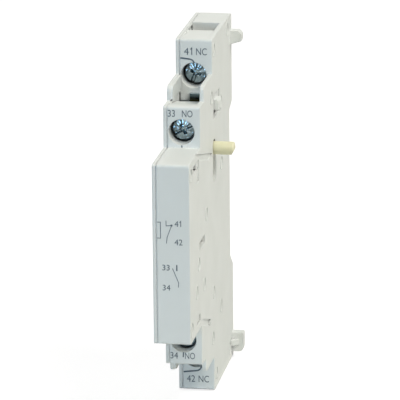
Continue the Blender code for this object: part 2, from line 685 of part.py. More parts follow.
def cut_side_wall(shell):
    """Latch windows, test slot and ejector marks of the mating side."""
    through = WALL_INSIDE - BITE
    half_wall = WIDTH - SIDE_WALL / 2
    top = LATCH_WINDOW_TOP
    bottom = top - LATCH_WINDOW_HEIGHT
    wall_window(shell, LATCH_DEPTH, LATCH_WINDOW_LENGTH, bottom, top - LATCH_BARB, through)
    wall_window(shell, LATCH_DEPTH, LATCH_WINDOW_LENGTH, top - LATCH_BARB * 2, top, half_wall)
    low = FRONT_WINDOW_LEVEL - FRONT_WINDOW_HEIGHT / 2
    high = FRONT_WINDOW_LEVEL + FRONT_WINDOW_HEIGHT / 2
    wall_window(shell, FRONT_WINDOW_DEPTH, FRONT_WINDOW_LENGTH, low, high, through)
    groove = FRONT_WINDOW_DEPTH + FRONT_WINDOW_LENGTH - FRONT_GROOVE_LENGTH
    wall_window(shell, groove, FRONT_GROOVE_LENGTH, low - FRONT_GROOVE_DROP, low + BITE, half_wall)
    low = -FRONT_WINDOW_LEVEL - FRONT_WINDOW_HEIGHT / 2
    length = FRONT_LATCH_LENGTH + RIB * 2
    wall_window(shell, FRONT_LATCH_DEPTH - RIB, length, low, low + FRONT_WINDOW_HEIGHT, through)
    low = TEST_SLOT_LEVEL - TEST_SLOT_HEIGHT / 2
    wall_window(shell, TEST_SLOT_DEPTH, TEST_SLOT_LENGTH, low, low + TEST_SLOT_HEIGHT, through)
    wedge = [
        (WEDGE_FRONT, FRONT_HALF_HEIGHT + BITE),
        (WEDGE_BACK, FRONT_HALF_HEIGHT - WEDGE_FALL),
        (WEDGE_HEEL, FRONT_HALF_HEIGHT - WEDGE_FALL - WEDGE_HEIGHT / 3),
        (WEDGE_KNEE, FRONT_HALF_HEIGHT - WEDGE_HEIGHT * 2),
    ]
    cut(shell, plate("wedge", [wedge], WIDTH - WEDGE_SINK, WIDTH + BITE, SIDE_VIEW))
    ramp = [
        (WIDTH + BITE, 0.0),
        (WIDTH, 0.0),
        (WIDTH - RAMP_SINK, RAMP_LENGTH),
        (WIDTH + BITE, RAMP_LENGTH),
    ]
    tool = plate("ramp", [ramp], -RAMP_HEIGHT / 2, RAMP_HEIGHT / 2, PLAN_VIEW)
    place = Matrix.Translation((0.0, RAMP_FRONT, RAMP_LEVEL))
    tool.data.transform(place @ Matrix.Rotation(-math.radians(RAMP_SLOPE), 4, "X"))
    cut(shell, tool)
    for depth, height in MARKS:
        start = (WIDTH - MARK_SINK, depth, height)
        cut(shell, rod("mark", start, (WIDTH + BITE, depth, height), MARK_RADIUS, 16))


def build_housing():
    """The moulded tray with everything that is moulded on it."""
    shell = build_shell()
    for terminal in TERMINALS:
        add_terminal_block(shell, terminal)
    for terminal in TERMINALS:
        cut_terminal_block(shell, terminal)
    add_guides(shell)
    add_contact_supports(shell)
    add_lugs(shell)
    cut_pin_slot(shell)
    cut_side_wall(shell)
    return shell


def add_latch(cover, front, length, bottom, thickness):
    """Latch arm that reaches from the cover to the side wall."""
    end = WIDTH - CLEARANCE / 2
    join(cover, box("latch", (COVER_WALL / 2, front, bottom), (end, front + length, bottom + thickness)))


def add_latch_head(cover, front, length, bottom, thickness):
    """Head of the main latch arm: a barb behind the window's edge and a rounded nose that stands proud."""
    shoulder = WIDTH - SIDE_WALL / 2 + CLEARANCE / 2
    end = WIDTH - CLEARANCE / 2
    top = bottom + thickness
    low = (shoulder, front, bottom + thickness / 2)
    join(cover, box("barb", low, (end, front + length, top + LATCH_BARB)))
    tip = WIDTH + LATCH_NOSE
    nose = [
        (end - BITE, bottom, SHARP),
        (tip, bottom, CORNER_RADIUS / 2),
        (tip, top, NOSE_RADIUS),
        (end - BITE, top, SHARP),
    ]
    join(cover, plate("nose", [rounded(nose)], front, front + NOSE_LENGTH, FRONT_VIEW))


def build_cover():
    """Left cover: a thin plate with thick cheeks and its latch arms."""
    cover = plate("side_cover", [block_outline(0.0, CORNER_RADIUS, True)], 0.0, COVER_WALL, SIDE_VIEW)
    soften_face_rim(cover, 0.0, CORNER_RADIUS)
    for side in (1, -1):
        corners = [
            (CHEEK_DEPTH + BITE / 2, side * (NEAR_HALF_HEIGHT + CLEARANCE), SHARP),
            (CHEEK_DEPTH + BITE / 2, side * (CHEEK_HALF_HEIGHT - BITE / 2), CHEEK_RADIUS),
            (FAR_DEPTH - CLEARANCE, side * (CHEEK_HALF_HEIGHT - BITE / 2), SHARP),
            (FAR_DEPTH - CLEARANCE, side * (NEAR_HALF_HEIGHT + CLEARANCE), SHARP),
        ]
        join(cover, plate("cheek", [rounded(corners)], COVER_WALL / 2, COVER_CHEEK, SIDE_VIEW))
    bottom = LATCH_WINDOW_TOP - LATCH_BARB - CLEARANCE - LATCH_THICKNESS
    add_latch(cover, LATCH_DEPTH + CLEARANCE, LATCH_LENGTH, bottom, LATCH_THICKNESS)
    add_latch_head(cover, LATCH_DEPTH + CLEARANCE, LATCH_LENGTH, bottom, LATCH_THICKNESS)
    thickness = FRONT_WINDOW_HEIGHT - CLEARANCE * 2
    for side in (1, -1):
        bottom = side * FRONT_WINDOW_LEVEL - thickness / 2
        add_latch(cover, FRONT_LATCH_DEPTH, FRONT_LATCH_LENGTH, bottom, thickness)
    return cover


def build_screw(terminal):
    """Terminal screw: pan head with a slot and a cross, a plain shank and a chamfered tip."""
    length = terminal.bar - CLEARANCE - terminal.head
    chamfer = SHANK_CHAMFER
    crown = HEAD_CROWN
    profile = [
        (0.0, length),
        (SHANK_RADIUS - chamfer, length),
        (SHANK_RADIUS, length - chamfer),
        (SHANK_RADIUS, HEAD_THICKNESS),
        (HEAD_RADIUS, HEAD_THICKNESS),
        (HEAD_RADIUS, crown),
        (HEAD_RADIUS - crown * 0.25, crown * 0.4),
        (HEAD_RADIUS - crown, 0.0),
        (0.0, 0.0),
    ]
    inward = Matrix.Translation((SCREW_ACROSS, terminal.head, terminal.screw)) @ FRONT_VIEW
    inward = inward @ Matrix.Rotation(math.pi, 4, "X")
    screw = turned("screw_%d" % terminal.number, profile, inward, TUBE_SIDES)
    tilt = math.radians(25.0 if terminal.number == 33 else 70.0)
    for reach, turn in ((HEAD_RADIUS + BITE, 0.0), (CROSS_REACH, math.pi / 2)):
        tool = box("slot", (-reach, -BITE, -SLOT_WIDTH / 2), (reach, SLOT_SINK, SLOT_WIDTH / 2))
        place = Matrix.Translation((SCREW_ACROSS, terminal.head, terminal.screw))
        tool.data.transform(place @ Matrix.Rotation(-(tilt + turn), 4, "Y"))
        cut(screw, tool)
    return screw


def build_clamp(terminal):
    """Box clamp: a sheet loop round the conductor, a thick threaded wall in front and a wire guide behind."""
    half = CLAMP_WIDTH / 2
    outer = [
        (SCREW_ACROSS - half, terminal.clamp, CLAMP_CORNER),
        (SCREW_ACROSS + half, terminal.clamp, CLAMP_CORNER),
        (SCREW_ACROSS + half, terminal.clamp_back, CLAMP_CORNER),
        (SCREW_ACROSS - half, terminal.clamp_back, CLAMP_CORNER),
    ]
    inside = half - CLAMP_SHEET
    front = terminal.clamp + CLAMP_NUT
    back = terminal.clamp_back - CLAMP_SHEET
    inner = [
        (SCREW_ACROSS - inside, front, CLAMP_CORNER / 3),
        (SCREW_ACROSS + inside, front, CLAMP_CORNER / 3),
        (SCREW_ACROSS + inside, back, CLAMP_CORNER / 3),
        (SCREW_ACROSS - inside, back, CLAMP_CORNER / 3),
    ]
    bottom = terminal.screw - CLAMP_HEIGHT / 2
    loops = [rounded(outer), rounded(inner)]
    clamp = plate("clamp_%d" % terminal.number, loops, bottom, bottom + CLAMP_HEIGHT, PLAN_VIEW)
    start = (SCREW_ACROSS, terminal.clamp - BITE, terminal.screw)
    end = (SCREW_ACROSS, front + BITE, terminal.screw)
    cut(clamp, rod("thread", start, end, SHANK_RADIUS + CLEARANCE, BORE_SIDES))
    edge = terminal.screw + terminal.upward * CLAMP_HEIGHT / 2
    low = (SCREW_ACROSS - CLAMP_SHEET, back, edge - terminal.upward * BITE)
    high = (SCREW_ACROSS + half - CLAMP_CORNER, terminal.clamp_back, edge + terminal.upward * CLAMP_TONGUE)
    join(clamp, box("tongue", low, high))
    return clamp


def strip_outline(path):
    """Outline of a bent strip that follows a path of (depth, height) points."""
    sides = ([], [])
    last = len(path) - 1
    for index, point in enumerate(path):
        here = Vector(point)
        before = (here - Vector(path[index - 1])).normalized() if index > 0 else None
        after = (Vector(path[index + 1]) - here).normalized() if index < last else None
        first = before or after
        second = after or before
        normal = (Vector((-first.y, first.x)) + Vector((-second.y, second.x))).normalized()
        reach = STRIP / 2 / normal.dot(Vector((-first.y, first.x)))
        turn = first.x * second.y - first.y * second.x
        for side, row in zip((1, -1), sides):
            radius = SHARP
            if before and after:
                radius = STRIP_BEND if side * turn < 0 else STRIP_BEND - STRIP * 0.9
            spot = here + normal * reach * side
            row.append((spot.x, spot.y, radius))
    return rounded(sides[0] + sides[1][::-1])


def build_strip(terminal, path):
    """Fixed conductor of one terminal, bent from flat strip."""
    left = SCREW_ACROSS - STRIP_WIDTH / 2
    return plate("strip_%d" % terminal.number, [strip_outline(path)], left, left + STRIP_WIDTH, SIDE_VIEW)


def strip_paths():
    """Route of each conductor from its clamp to its fixed contact."""
    end = CLAMP_HEIGHT / 2 - CLEARANCE / 2
    jog = FRONT_HALF_HEIGHT - RIM_WALL - CLEARANCE - STRIP / 2
    low_jog = -(FAR_SCREW_HEIGHT - CLAMP_HEIGHT / 2 - RIM_WALL * 3)
    near = TERMINAL_33.bar_middle
    far = TERMINAL_41.bar_middle
    tab = TAB_REACH * 2
    front_end = OPEN_POLE_DEPTH - HALF_SPAN + TIP_RADIUS
    rear_end = CLOSED_POLE_DEPTH + HALF_SPAN - TIP_RADIUS - TIP_SEAT
    return {
        41: [(far, TERMINAL_41.screw + end), (far, CLOSED_TAB_HEIGHT), (far - tab, CLOSED_TAB_HEIGHT)],
        33: [
            (near, TERMINAL_33.screw + end),
            (near, jog),
            (FRONT_RISER_DEPTH, jog),
            (FRONT_RISER_DEPTH, OPEN_TAB_HEIGHT),
            (front_end, OPEN_TAB_HEIGHT),
        ],
        34: [(near, TERMINAL_34.screw - end), (near, OPEN_TAB_HEIGHT), (near - tab, OPEN_TAB_HEIGHT)],
        42: [
            (far, TERMINAL_42.screw - end),
            (far, low_jog),
            (REAR_RISER_DEPTH, low_jog),
            (REAR_RISER_DEPTH, CLOSED_TAB_HEIGHT),
            (rear_end, CLOSED_TAB_HEIGHT),
        ],
    }


def tip_solid(name, depth, surface, upward):
    """Contact tip: a low button with a chamfered rim that stands on a surface and points up or down."""
    profile = [
        (0.0, TIP_HEIGHT),
        (TIP_RADIUS * 0.8, TIP_HEIGHT),
        (TIP_RADIUS, TIP_HEIGHT * 0.7),
        (TIP_RADIUS, TIP_SEAT),
        (0.0, TIP_SEAT),
    ]
    place = Matrix.Translation((SCREW_ACROSS, depth, surface))
    if upward < 0:
        place = place @ Matrix.Rotation(math.pi, 4, "X")
    return turned(name, profile, place, 20)


def build_fixed_tip(terminal):
    """Fixed contact tip on its conductor's tab."""
    open_pole = terminal.face == NEAR_DEPTH
    pole = OPEN_POLE_DEPTH if open_pole else CLOSED_POLE_DEPTH
    forward = terminal.number in (33, 41)
    depth = pole - HALF_SPAN if forward else pole + HALF_SPAN
    upward = 1 if open_pole else -1
    tab = OPEN_TAB_HEIGHT if open_pole else CLOSED_TAB_HEIGHT
    return tip_solid("fixed_tip_%d" % terminal.number, depth, tab + upward * STRIP / 2, upward)


def build_bridge(name, pole, bottom):
    """Moving contact bridge: a flat strip with rounded ends."""
    half = BRIDGE_WIDTH / 2
    ends = pole - BRIDGE_HALF_LENGTH, pole + BRIDGE_HALF_LENGTH
    corners = [
        (SLIDER_MIDDLE - half, ends[0], half * 0.5),
        (SLIDER_MIDDLE + half, ends[0], half * 0.5),
        (SLIDER_MIDDLE + half, ends[1], half * 0.5),
        (SLIDER_MIDDLE - half, ends[1], half * 0.5),
    ]
    return plate(name, [rounded(corners)], bottom, bottom + BRIDGE, PLAN_VIEW)


def cage_corners(pole, bottom, top):
    """Front, back, bottom and top of a cage round a bridge."""
    return pole - CAGE_HALF_DEPTH, pole + CAGE_HALF_DEPTH, bottom - CAGE_BAR, top + CAGE_BAR


def build_slider():
    """Contact carrier: an upright stem with an arm and a cage for each bridge, bored for spring and pin."""
    front = cage_corners(OPEN_POLE_DEPTH, OPEN_WINDOW_BOTTOM, OPEN_WINDOW_TOP)
    rear = cage_corners(CLOSED_POLE_DEPTH, CLOSED_WINDOW_BOTTOM, CLOSED_WINDOW_TOP)
    outline = [
        (STEM_FRONT, STEM_BOTTOM, SHARP),
        (STEM_BACK, STEM_BOTTOM, SHARP),
        (STEM_BACK, rear[2], CORNER_RADIUS),
        (rear[1], rear[2], CORNER_RADIUS),
        (rear[1], rear[3], CORNER_RADIUS),
        (rear[0], rear[3], CORNER_RADIUS),
        (rear[0], rear[2] + ARM_HEIGHT, CORNER_RADIUS),
        (STEM_BACK, rear[2] + ARM_HEIGHT, CORNER_RADIUS),
        (STEM_BACK, STEM_TOP, CORNER_RADIUS),
        (STEM_FRONT, STEM_TOP, CORNER_RADIUS),
        (STEM_FRONT, front[3], CORNER_RADIUS),
        (front[0], front[3], CORNER_RADIUS),
        (front[0], front[2], CORNER_RADIUS),
        (front[1], front[2], CORNER_RADIUS),
        (front[1], front[3] - ARM_HEIGHT, CORNER_RADIUS),
        (STEM_FRONT, front[3] - ARM_HEIGHT, CORNER_RADIUS),
    ]
    slider = plate("actuator_slider", [rounded(outline)], SLIDER_LEFT, SLIDER_RIGHT, SIDE_VIEW)
    left = SLIDER_LEFT + CAGE_POST
    right = SLIDER_RIGHT - CAGE_POST
    for cage, bottom, top in (
        (front, OPEN_WINDOW_BOTTOM, OPEN_WINDOW_TOP),
        (rear, CLOSED_WINDOW_BOTTOM, CLOSED_WINDOW_TOP),
    ):
        cut(slider, box("window", (left, cage[0] - BITE, bottom), (right, cage[1] + BITE, top)))
    foot = (SLIDER_MIDDLE, PIN_DEPTH, STEM_BOTTOM - BITE)
    roof = (SLIDER_MIDDLE, PIN_DEPTH, SPRING_BORE_TOP)
    cut(slider, rod("spring_bore", foot, roof, SPRING_BORE_RADIUS, 24))
    root = (PIN_ROOT - CLEARANCE, PIN_DEPTH, PIN_HEIGHT)
    mouth = (SLIDER_RIGHT + BITE, PIN_DEPTH, PIN_HEIGHT)
    cut(slider, rod("pin_bore", root, mouth, PIN_RADIUS + CLEARANCE, 24))
    return slider


def build_pin():
    """Actuator pin with a rounded tip that is ramped on its lower side."""
    length = WIDTH + PIN_REACH - PIN_ROOT
    edge = PIN_RADIUS * 0.2
    profile = [
        (0.0, length),
        (PIN_RADIUS - edge, length),
        (PIN_RADIUS - edge * 0.3, length - edge * 0.3),
        (PIN_RADIUS, length - edge),
        (PIN_RADIUS, 0.0),
        (0.0, 0.0),
    ]
    outward = Matrix.Translation((PIN_ROOT, PIN_DEPTH, PIN_HEIGHT)) @ Matrix.Rotation(math.pi / 2, 4, "Y")
    pin = turned("actuator_pin", profile, outward, 28)
    tip = WIDTH + PIN_REACH
    ramp = [
        (tip - PIN_RADIUS * 0.6, PIN_HEIGHT - PIN_RADIUS - BITE),
        (tip + BITE, PIN_HEIGHT - PIN_RADIUS - BITE),
        (tip + BITE, PIN_HEIGHT + BITE),
    ]
    cut(pin, plate("ramp", [ramp], PIN_DEPTH - PIN_RADIUS * 2, PIN_DEPTH + PIN_RADIUS * 2, FRONT_VIEW))
    return pin


def build_spring(name, centre, low, high, radius, wire, coils, points_per_coil=10):
    """Compression spring: a coil with a closed turn at each end, as a round wire of equal bore."""
    curve = bpy.data.curves.new(name, "CURVE")
    curve.dimensions = "3D"
    curve.bevel_depth = wire
    curve.bevel_resolution = 1
    curve.use_fill_caps = True
    total = (coils + 2) * points_per_coil
    spline = curve.splines.new("POLY")
    spline.points.add(total)
    bottom = low + wire
    rise = high - low - 2 * wire - 4 * wire * 1.05
    for index in range(total + 1):
        turns = index / points_per_coil
        inner = min(max(turns - 1.0, 0.0), float(coils))
        closed = min(turns, 1.0) + max(turns - coils - 1.0, 0.0)
        height = bottom + closed * 2 * wire * 1.05 + rise * inner / coils
        angle = 2 * math.pi * turns
        across = centre[0] + radius * math.cos(angle)
        spline.points[index].co = (across, centre[1] + radius * math.sin(angle), height, 1.0)
    return solid_from_curve(curve, Matrix.Identity(4))


def build_springs():
    """Return spring and the two contact springs, at their rest lengths."""
    seat = SPRING_SEAT_HEIGHT + CLEARANCE
    roof = SPRING_BORE_TOP - CLEARANCE
    place = (SLIDER_MIDDLE, PIN_DEPTH)
    back = build_spring(
        "return_spring", place, seat, roof, RETURN_SPRING_RADIUS, RETURN_WIRE_RADIUS, RETURN_COILS
    )
    low = OPEN_BRIDGE_TOP + CLEARANCE
    opener = build_spring(
        "no_contact_spring",
        (SLIDER_MIDDLE, OPEN_POLE_DEPTH),
        low,
        low + OPEN_SPRING_LENGTH,
        CONTACT_SPRING_RADIUS,
        CONTACT_WIRE_RADIUS,
        CONTACT_COILS,
    )
    low = CLOSED_WINDOW_BOTTOM + CLEARANCE
    closer = build_spring(
        "nc_contact_spring",
        (SLIDER_MIDDLE, CLOSED_POLE_DEPTH),
        low,
        low + CLOSED_SPRING_LENGTH,
        CONTACT_SPRING_RADIUS,
        CONTACT_WIRE_RADIUS,
        CONTACT_COILS,
    )
    return back, opener, closer


def main():
    """Builds every piece and hangs it on the block's own empty."""
    clear_scene()
    group = bpy.data.collections.new("auxiliary_contact_block")
    bpy.context.scene.collection.children.link(group)
    frame = bpy.data.objects.new("block_frame", None)
    frame.location = (-WIDTH, -DEPTH / 2, 0.0)
    group.objects.link(frame)
    stuff = {name: make_material(name) for name in COLOURS}
    finish(build_housing(), stuff["light_grey_plastic"], frame, group)
    finish(build_cover(), stuff["light_grey_plastic"], frame, group)
    pivot = (WIDTH, PIN_DEPTH, PIN_HEIGHT)
    finish(build_slider(), stuff["white_plastic"], frame, group, pivot)
    finish(build_pin(), stuff["yellow_plastic"], frame, group, pivot)
    routes = strip_paths()
    for terminal in TERMINALS:
        axis = (SCREW_ACROSS, terminal.head, terminal.screw)
        finish(build_screw(terminal), stuff["plated_steel"], frame, group, axis)
        finish(build_clamp(terminal), stuff["plated_steel"], frame, group, axis)
        finish(build_strip(terminal, routes[terminal.number]), stuff["brass"], frame, group)
        finish(build_fixed_tip(terminal), stuff["silver_alloy"], frame, group)
    open_pivot = (SLIDER_MIDDLE, OPEN_POLE_DEPTH, OPEN_BRIDGE_BOTTOM)
    closed_pivot = (SLIDER_MIDDLE, CLOSED_POLE_DEPTH, CLOSED_BRIDGE_TOP)
    bridge = build_bridge("no_bridge", OPEN_POLE_DEPTH, OPEN_BRIDGE_BOTTOM)
    finish(bridge, stuff["brass"], frame, group, open_pivot)
    bridge = build_bridge("nc_bridge", CLOSED_POLE_DEPTH, CLOSED_BRIDGE_BOTTOM)
    finish(bridge, stuff["brass"], frame, group, closed_pivot)
    for place, side in (("front", -1), ("rear", 1)):
        depth = OPEN_POLE_DEPTH + side * HALF_SPAN
        tip = tip_solid("no_tip_" + place, depth, OPEN_BRIDGE_BOTTOM, -1)
        finish(tip, stuff["silver_alloy"], frame, group, open_pivot)
        depth = CLOSED_POLE_DEPTH + side * HALF_SPAN
        tip = tip_solid("nc_tip_" + place, depth, CLOSED_BRIDGE_TOP, 1)
        finish(tip, stuff["silver_alloy"], frame, group, closed_pivot)
    for spring in build_springs():
        finish(spring, stuff["spring_steel"], frame, group, smooth=80.0)


main()
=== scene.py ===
"""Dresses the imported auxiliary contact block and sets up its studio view.

Block coordinates are used for places on the block: across runs from the left cover to the mating face, depth
runs from the front face backwards and height runs up from mid height. BlockForm.place turns them into the
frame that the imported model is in.
"""

import json
import logging
import math
from dataclasses import dataclass
from enum import Enum
from typing import Sequence

import bpy
import numpy as np
from mathutils import Matrix, Vector


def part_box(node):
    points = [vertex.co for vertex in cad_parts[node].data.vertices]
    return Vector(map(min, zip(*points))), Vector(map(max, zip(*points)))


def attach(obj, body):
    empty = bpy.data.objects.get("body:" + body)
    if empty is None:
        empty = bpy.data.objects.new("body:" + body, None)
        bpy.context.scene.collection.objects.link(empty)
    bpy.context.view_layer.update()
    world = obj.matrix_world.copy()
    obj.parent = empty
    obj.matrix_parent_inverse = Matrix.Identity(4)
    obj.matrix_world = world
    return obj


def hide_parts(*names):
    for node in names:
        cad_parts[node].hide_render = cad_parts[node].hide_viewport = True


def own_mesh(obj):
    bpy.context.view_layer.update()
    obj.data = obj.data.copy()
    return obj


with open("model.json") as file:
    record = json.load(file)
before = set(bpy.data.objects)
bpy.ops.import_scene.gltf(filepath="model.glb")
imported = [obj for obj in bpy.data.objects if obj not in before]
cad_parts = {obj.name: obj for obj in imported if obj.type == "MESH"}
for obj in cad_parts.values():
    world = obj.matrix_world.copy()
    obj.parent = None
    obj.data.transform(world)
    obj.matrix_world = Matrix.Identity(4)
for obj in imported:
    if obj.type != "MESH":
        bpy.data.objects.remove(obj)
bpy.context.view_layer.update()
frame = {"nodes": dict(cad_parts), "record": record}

MM = 0.001
log = logging.getLogger("contact_block")


def linear(code: str) -> tuple[float, float, float, float]:
    """Turns an sRGB hex colour into a linear one.

    Args:
        code: six hex digits with a leading hash.

    Returns:
        Linear red, green and blue, and an alpha of 1.
    """
    values = [int(code[start:start + 2], 16) / 255 for start in (1, 3, 5)]
    red, green, blue = [v / 12.92 if v <= 0.04045 else ((v + 0.055) / 1.055) ** 2.4 for v in values]
    return red, green, blue, 1.0


def per_metre(millimetres: float) -> float:
    """Returns the texture scale at which one cell of a pattern measures that many millimetres."""
    return 1.0 / (millimetres * MM)


def add_node(tree: bpy.types.NodeTree, kind: str, inputs: dict | None = None, **settings) -> bpy.types.Node:
    """Adds a node with its settings, its values and its links.

    Args:
        tree: node tree of the material or the world.
        kind: Blender's name of the node.
        inputs: value, or output socket to link, for each input by name or number.
        settings: properties of the node itself.

    Returns:
        The new node.
    """
    node = tree.nodes.new(kind)
    for name, value in settings.items():
        setattr(node, name, value)
    for key, value in (inputs or {}).items():
        if isinstance(value, bpy.types.NodeSocket):
            tree.links.new(value, node.inputs[key])
        else:
            node.inputs[key].default_value = value
    return node


class Contact(Enum):
    """What kind of contact a terminal belongs to."""

    OPENS = "NC"
    CLOSES = "NO"


@dataclass(frozen=True)
class BlockForm:
    """Main sizes of the block, in metres.

    Attributes:
        width: from the cover's outside to the mating face.
        depth: from the front face to the back.
        near_face: depth of the faces of terminals 33 and 34.
        far_face: depth of the faces of terminals 41 and 42.
        front_half: half the height of the front face.
        near_half: half the height across the near terminals.
        half_height: half the whole height.
        cover: thickness of the cover's wall.
        seam: width of the gap between the cover and the housing.
        recess: depth of the recess for the rail.
        rail: heights of the recess: upper ramp's ends, then the lower ramp's.
    """

    width: float = 9.0 * MM
    depth: float = 66.0 * MM
    near_face: float = 16.5 * MM
    far_face: float = 35.2 * MM
    front_half: float = 22.3 * MM
    near_half: float = 32.5 * MM
    half_height: float = 45.0 * MM
    cover: float = 0.8 * MM
    seam: float = 0.25 * MM
    recess: float = 4.3 * MM
    rail: tuple[float, float, float, float] = (22.3 * MM, 20.9 * MM, -17.3 * MM, -20.6 * MM)

    def place(self, across: float, depth: float, height: float) -> Vector:
        """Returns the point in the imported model's frame for a point in block coordinates."""
        return Vector((across - self.width, depth - self.depth / 2, height))

    def outline(self, inset: float) -> np.ndarray:
        """Side outline drawn in by inset: the steps above, the rail recess and the steps below.

        Args:
            inset: distance from the outer surface.

        Returns:
            Depth and height of each corner.
        """
        near = self.near_face + inset
        far = self.far_face + inset
        back = self.depth - inset
        upper = [
            (inset, self.front_half - inset), (near, self.front_half - inset), (near, self.near_half - inset),
            (far, self.near_half - inset), (far, self.half_height - inset), (back, self.half_height - inset),
        ]
        floor = back - self.recess
        rail = [
            (back, self.rail[0] + inset), (floor, self.rail[1] + inset),
            (floor, self.rail[2] - inset), (back, self.rail[3] - inset),
        ]
        return np.array(upper + rail + [(depth, -height) for depth, height in reversed(upper)])


@dataclass(frozen=True)
class TerminalPlace:
    """One screw terminal and its print, in millimetres of block coordinates.

    Attributes:
        number: the terminal's number.
        contact: its contact's kind.
        near: True when its face is one of the two near ones.
        turn: degrees that the screw's slot is turned by.
        number_box: left, right, bottom and top of the printed number.
        kind_box: the same of the printed kind of contact.
        lead: places of the printed line beside the hole.
        lead_width: width of that line.
    """

    number: int
    contact: Contact
    near: bool
    turn: float
    number_box: tuple[float, float, float, float]
    kind_box: tuple[float, float, float, float]
    lead: tuple[tuple[float, float], ...]
    lead_width: float

    def face(self, form: BlockForm) -> float:
        """Returns the depth of the face that this terminal's screw sits in."""
        return form.near_face if self.near else form.far_face


TERMINALS = (
    TerminalPlace(
        41, Contact.OPENS, False, -70.0, (2.05, 4.1, 41.0, 42.75), (5.07, 7.7, 41.0, 42.75),
        ((1.12, 40.2), (3.2, 39.98), (3.8, 39.86), (4.2, 39.65), (4.42, 39.35), (4.5, 38.95)), 0.38,
    ),
    TerminalPlace(
        33, Contact.CLOSES, True, -27.0, (1.15, 2.9, 29.95, 31.65), (4.6, 7.18, 29.95, 31.65),
        ((4.5, 22.95), (4.5, 22.4)), 0.28,
    ),
    TerminalPlace(
        34, Contact.CLOSES, True, -55.0, (1.15, 3.0, -31.05, -29.4), (4.75, 7.22, -31.05, -29.4),
        ((4.4, -29.35), (4.3, -30.6)), 0.3,
    ),
    TerminalPlace(
        42, Contact.OPENS, False, -15.0, (1.97, 4.05, -43.0, -41.25), (4.95, 7.56, -43.0, -41.25),
        ((1.14, -40.42), (4.5, -40.0), (5.0, -39.85), (5.35, -39.55), (5.6, -39.15), (5.68, -38.85)), 0.38,
    ),
)


# Rubbed edges: cosine between the softened and the true normal where rubbing starts and where it is full, and
# the share of the worn colour there
RUB_STARTS = 0.995
RUB_FULL = 0.9
RUB_SHARE = 0.6
# Painted light and painted shade in recesses: shares of open sky below which each is full and above which
# there is none
PAINTED_LIGHT_SKY = (0.3, 0.6)
PAINTED_SHADE_WIDE_SKY = (0.12, 0.3)
PAINTED_SHADE_NEAR_SKY = (0.6, 0.95)
# Reach of the near test of open sky, as a share of the wide one's
NEAR_SHARE = 0.25


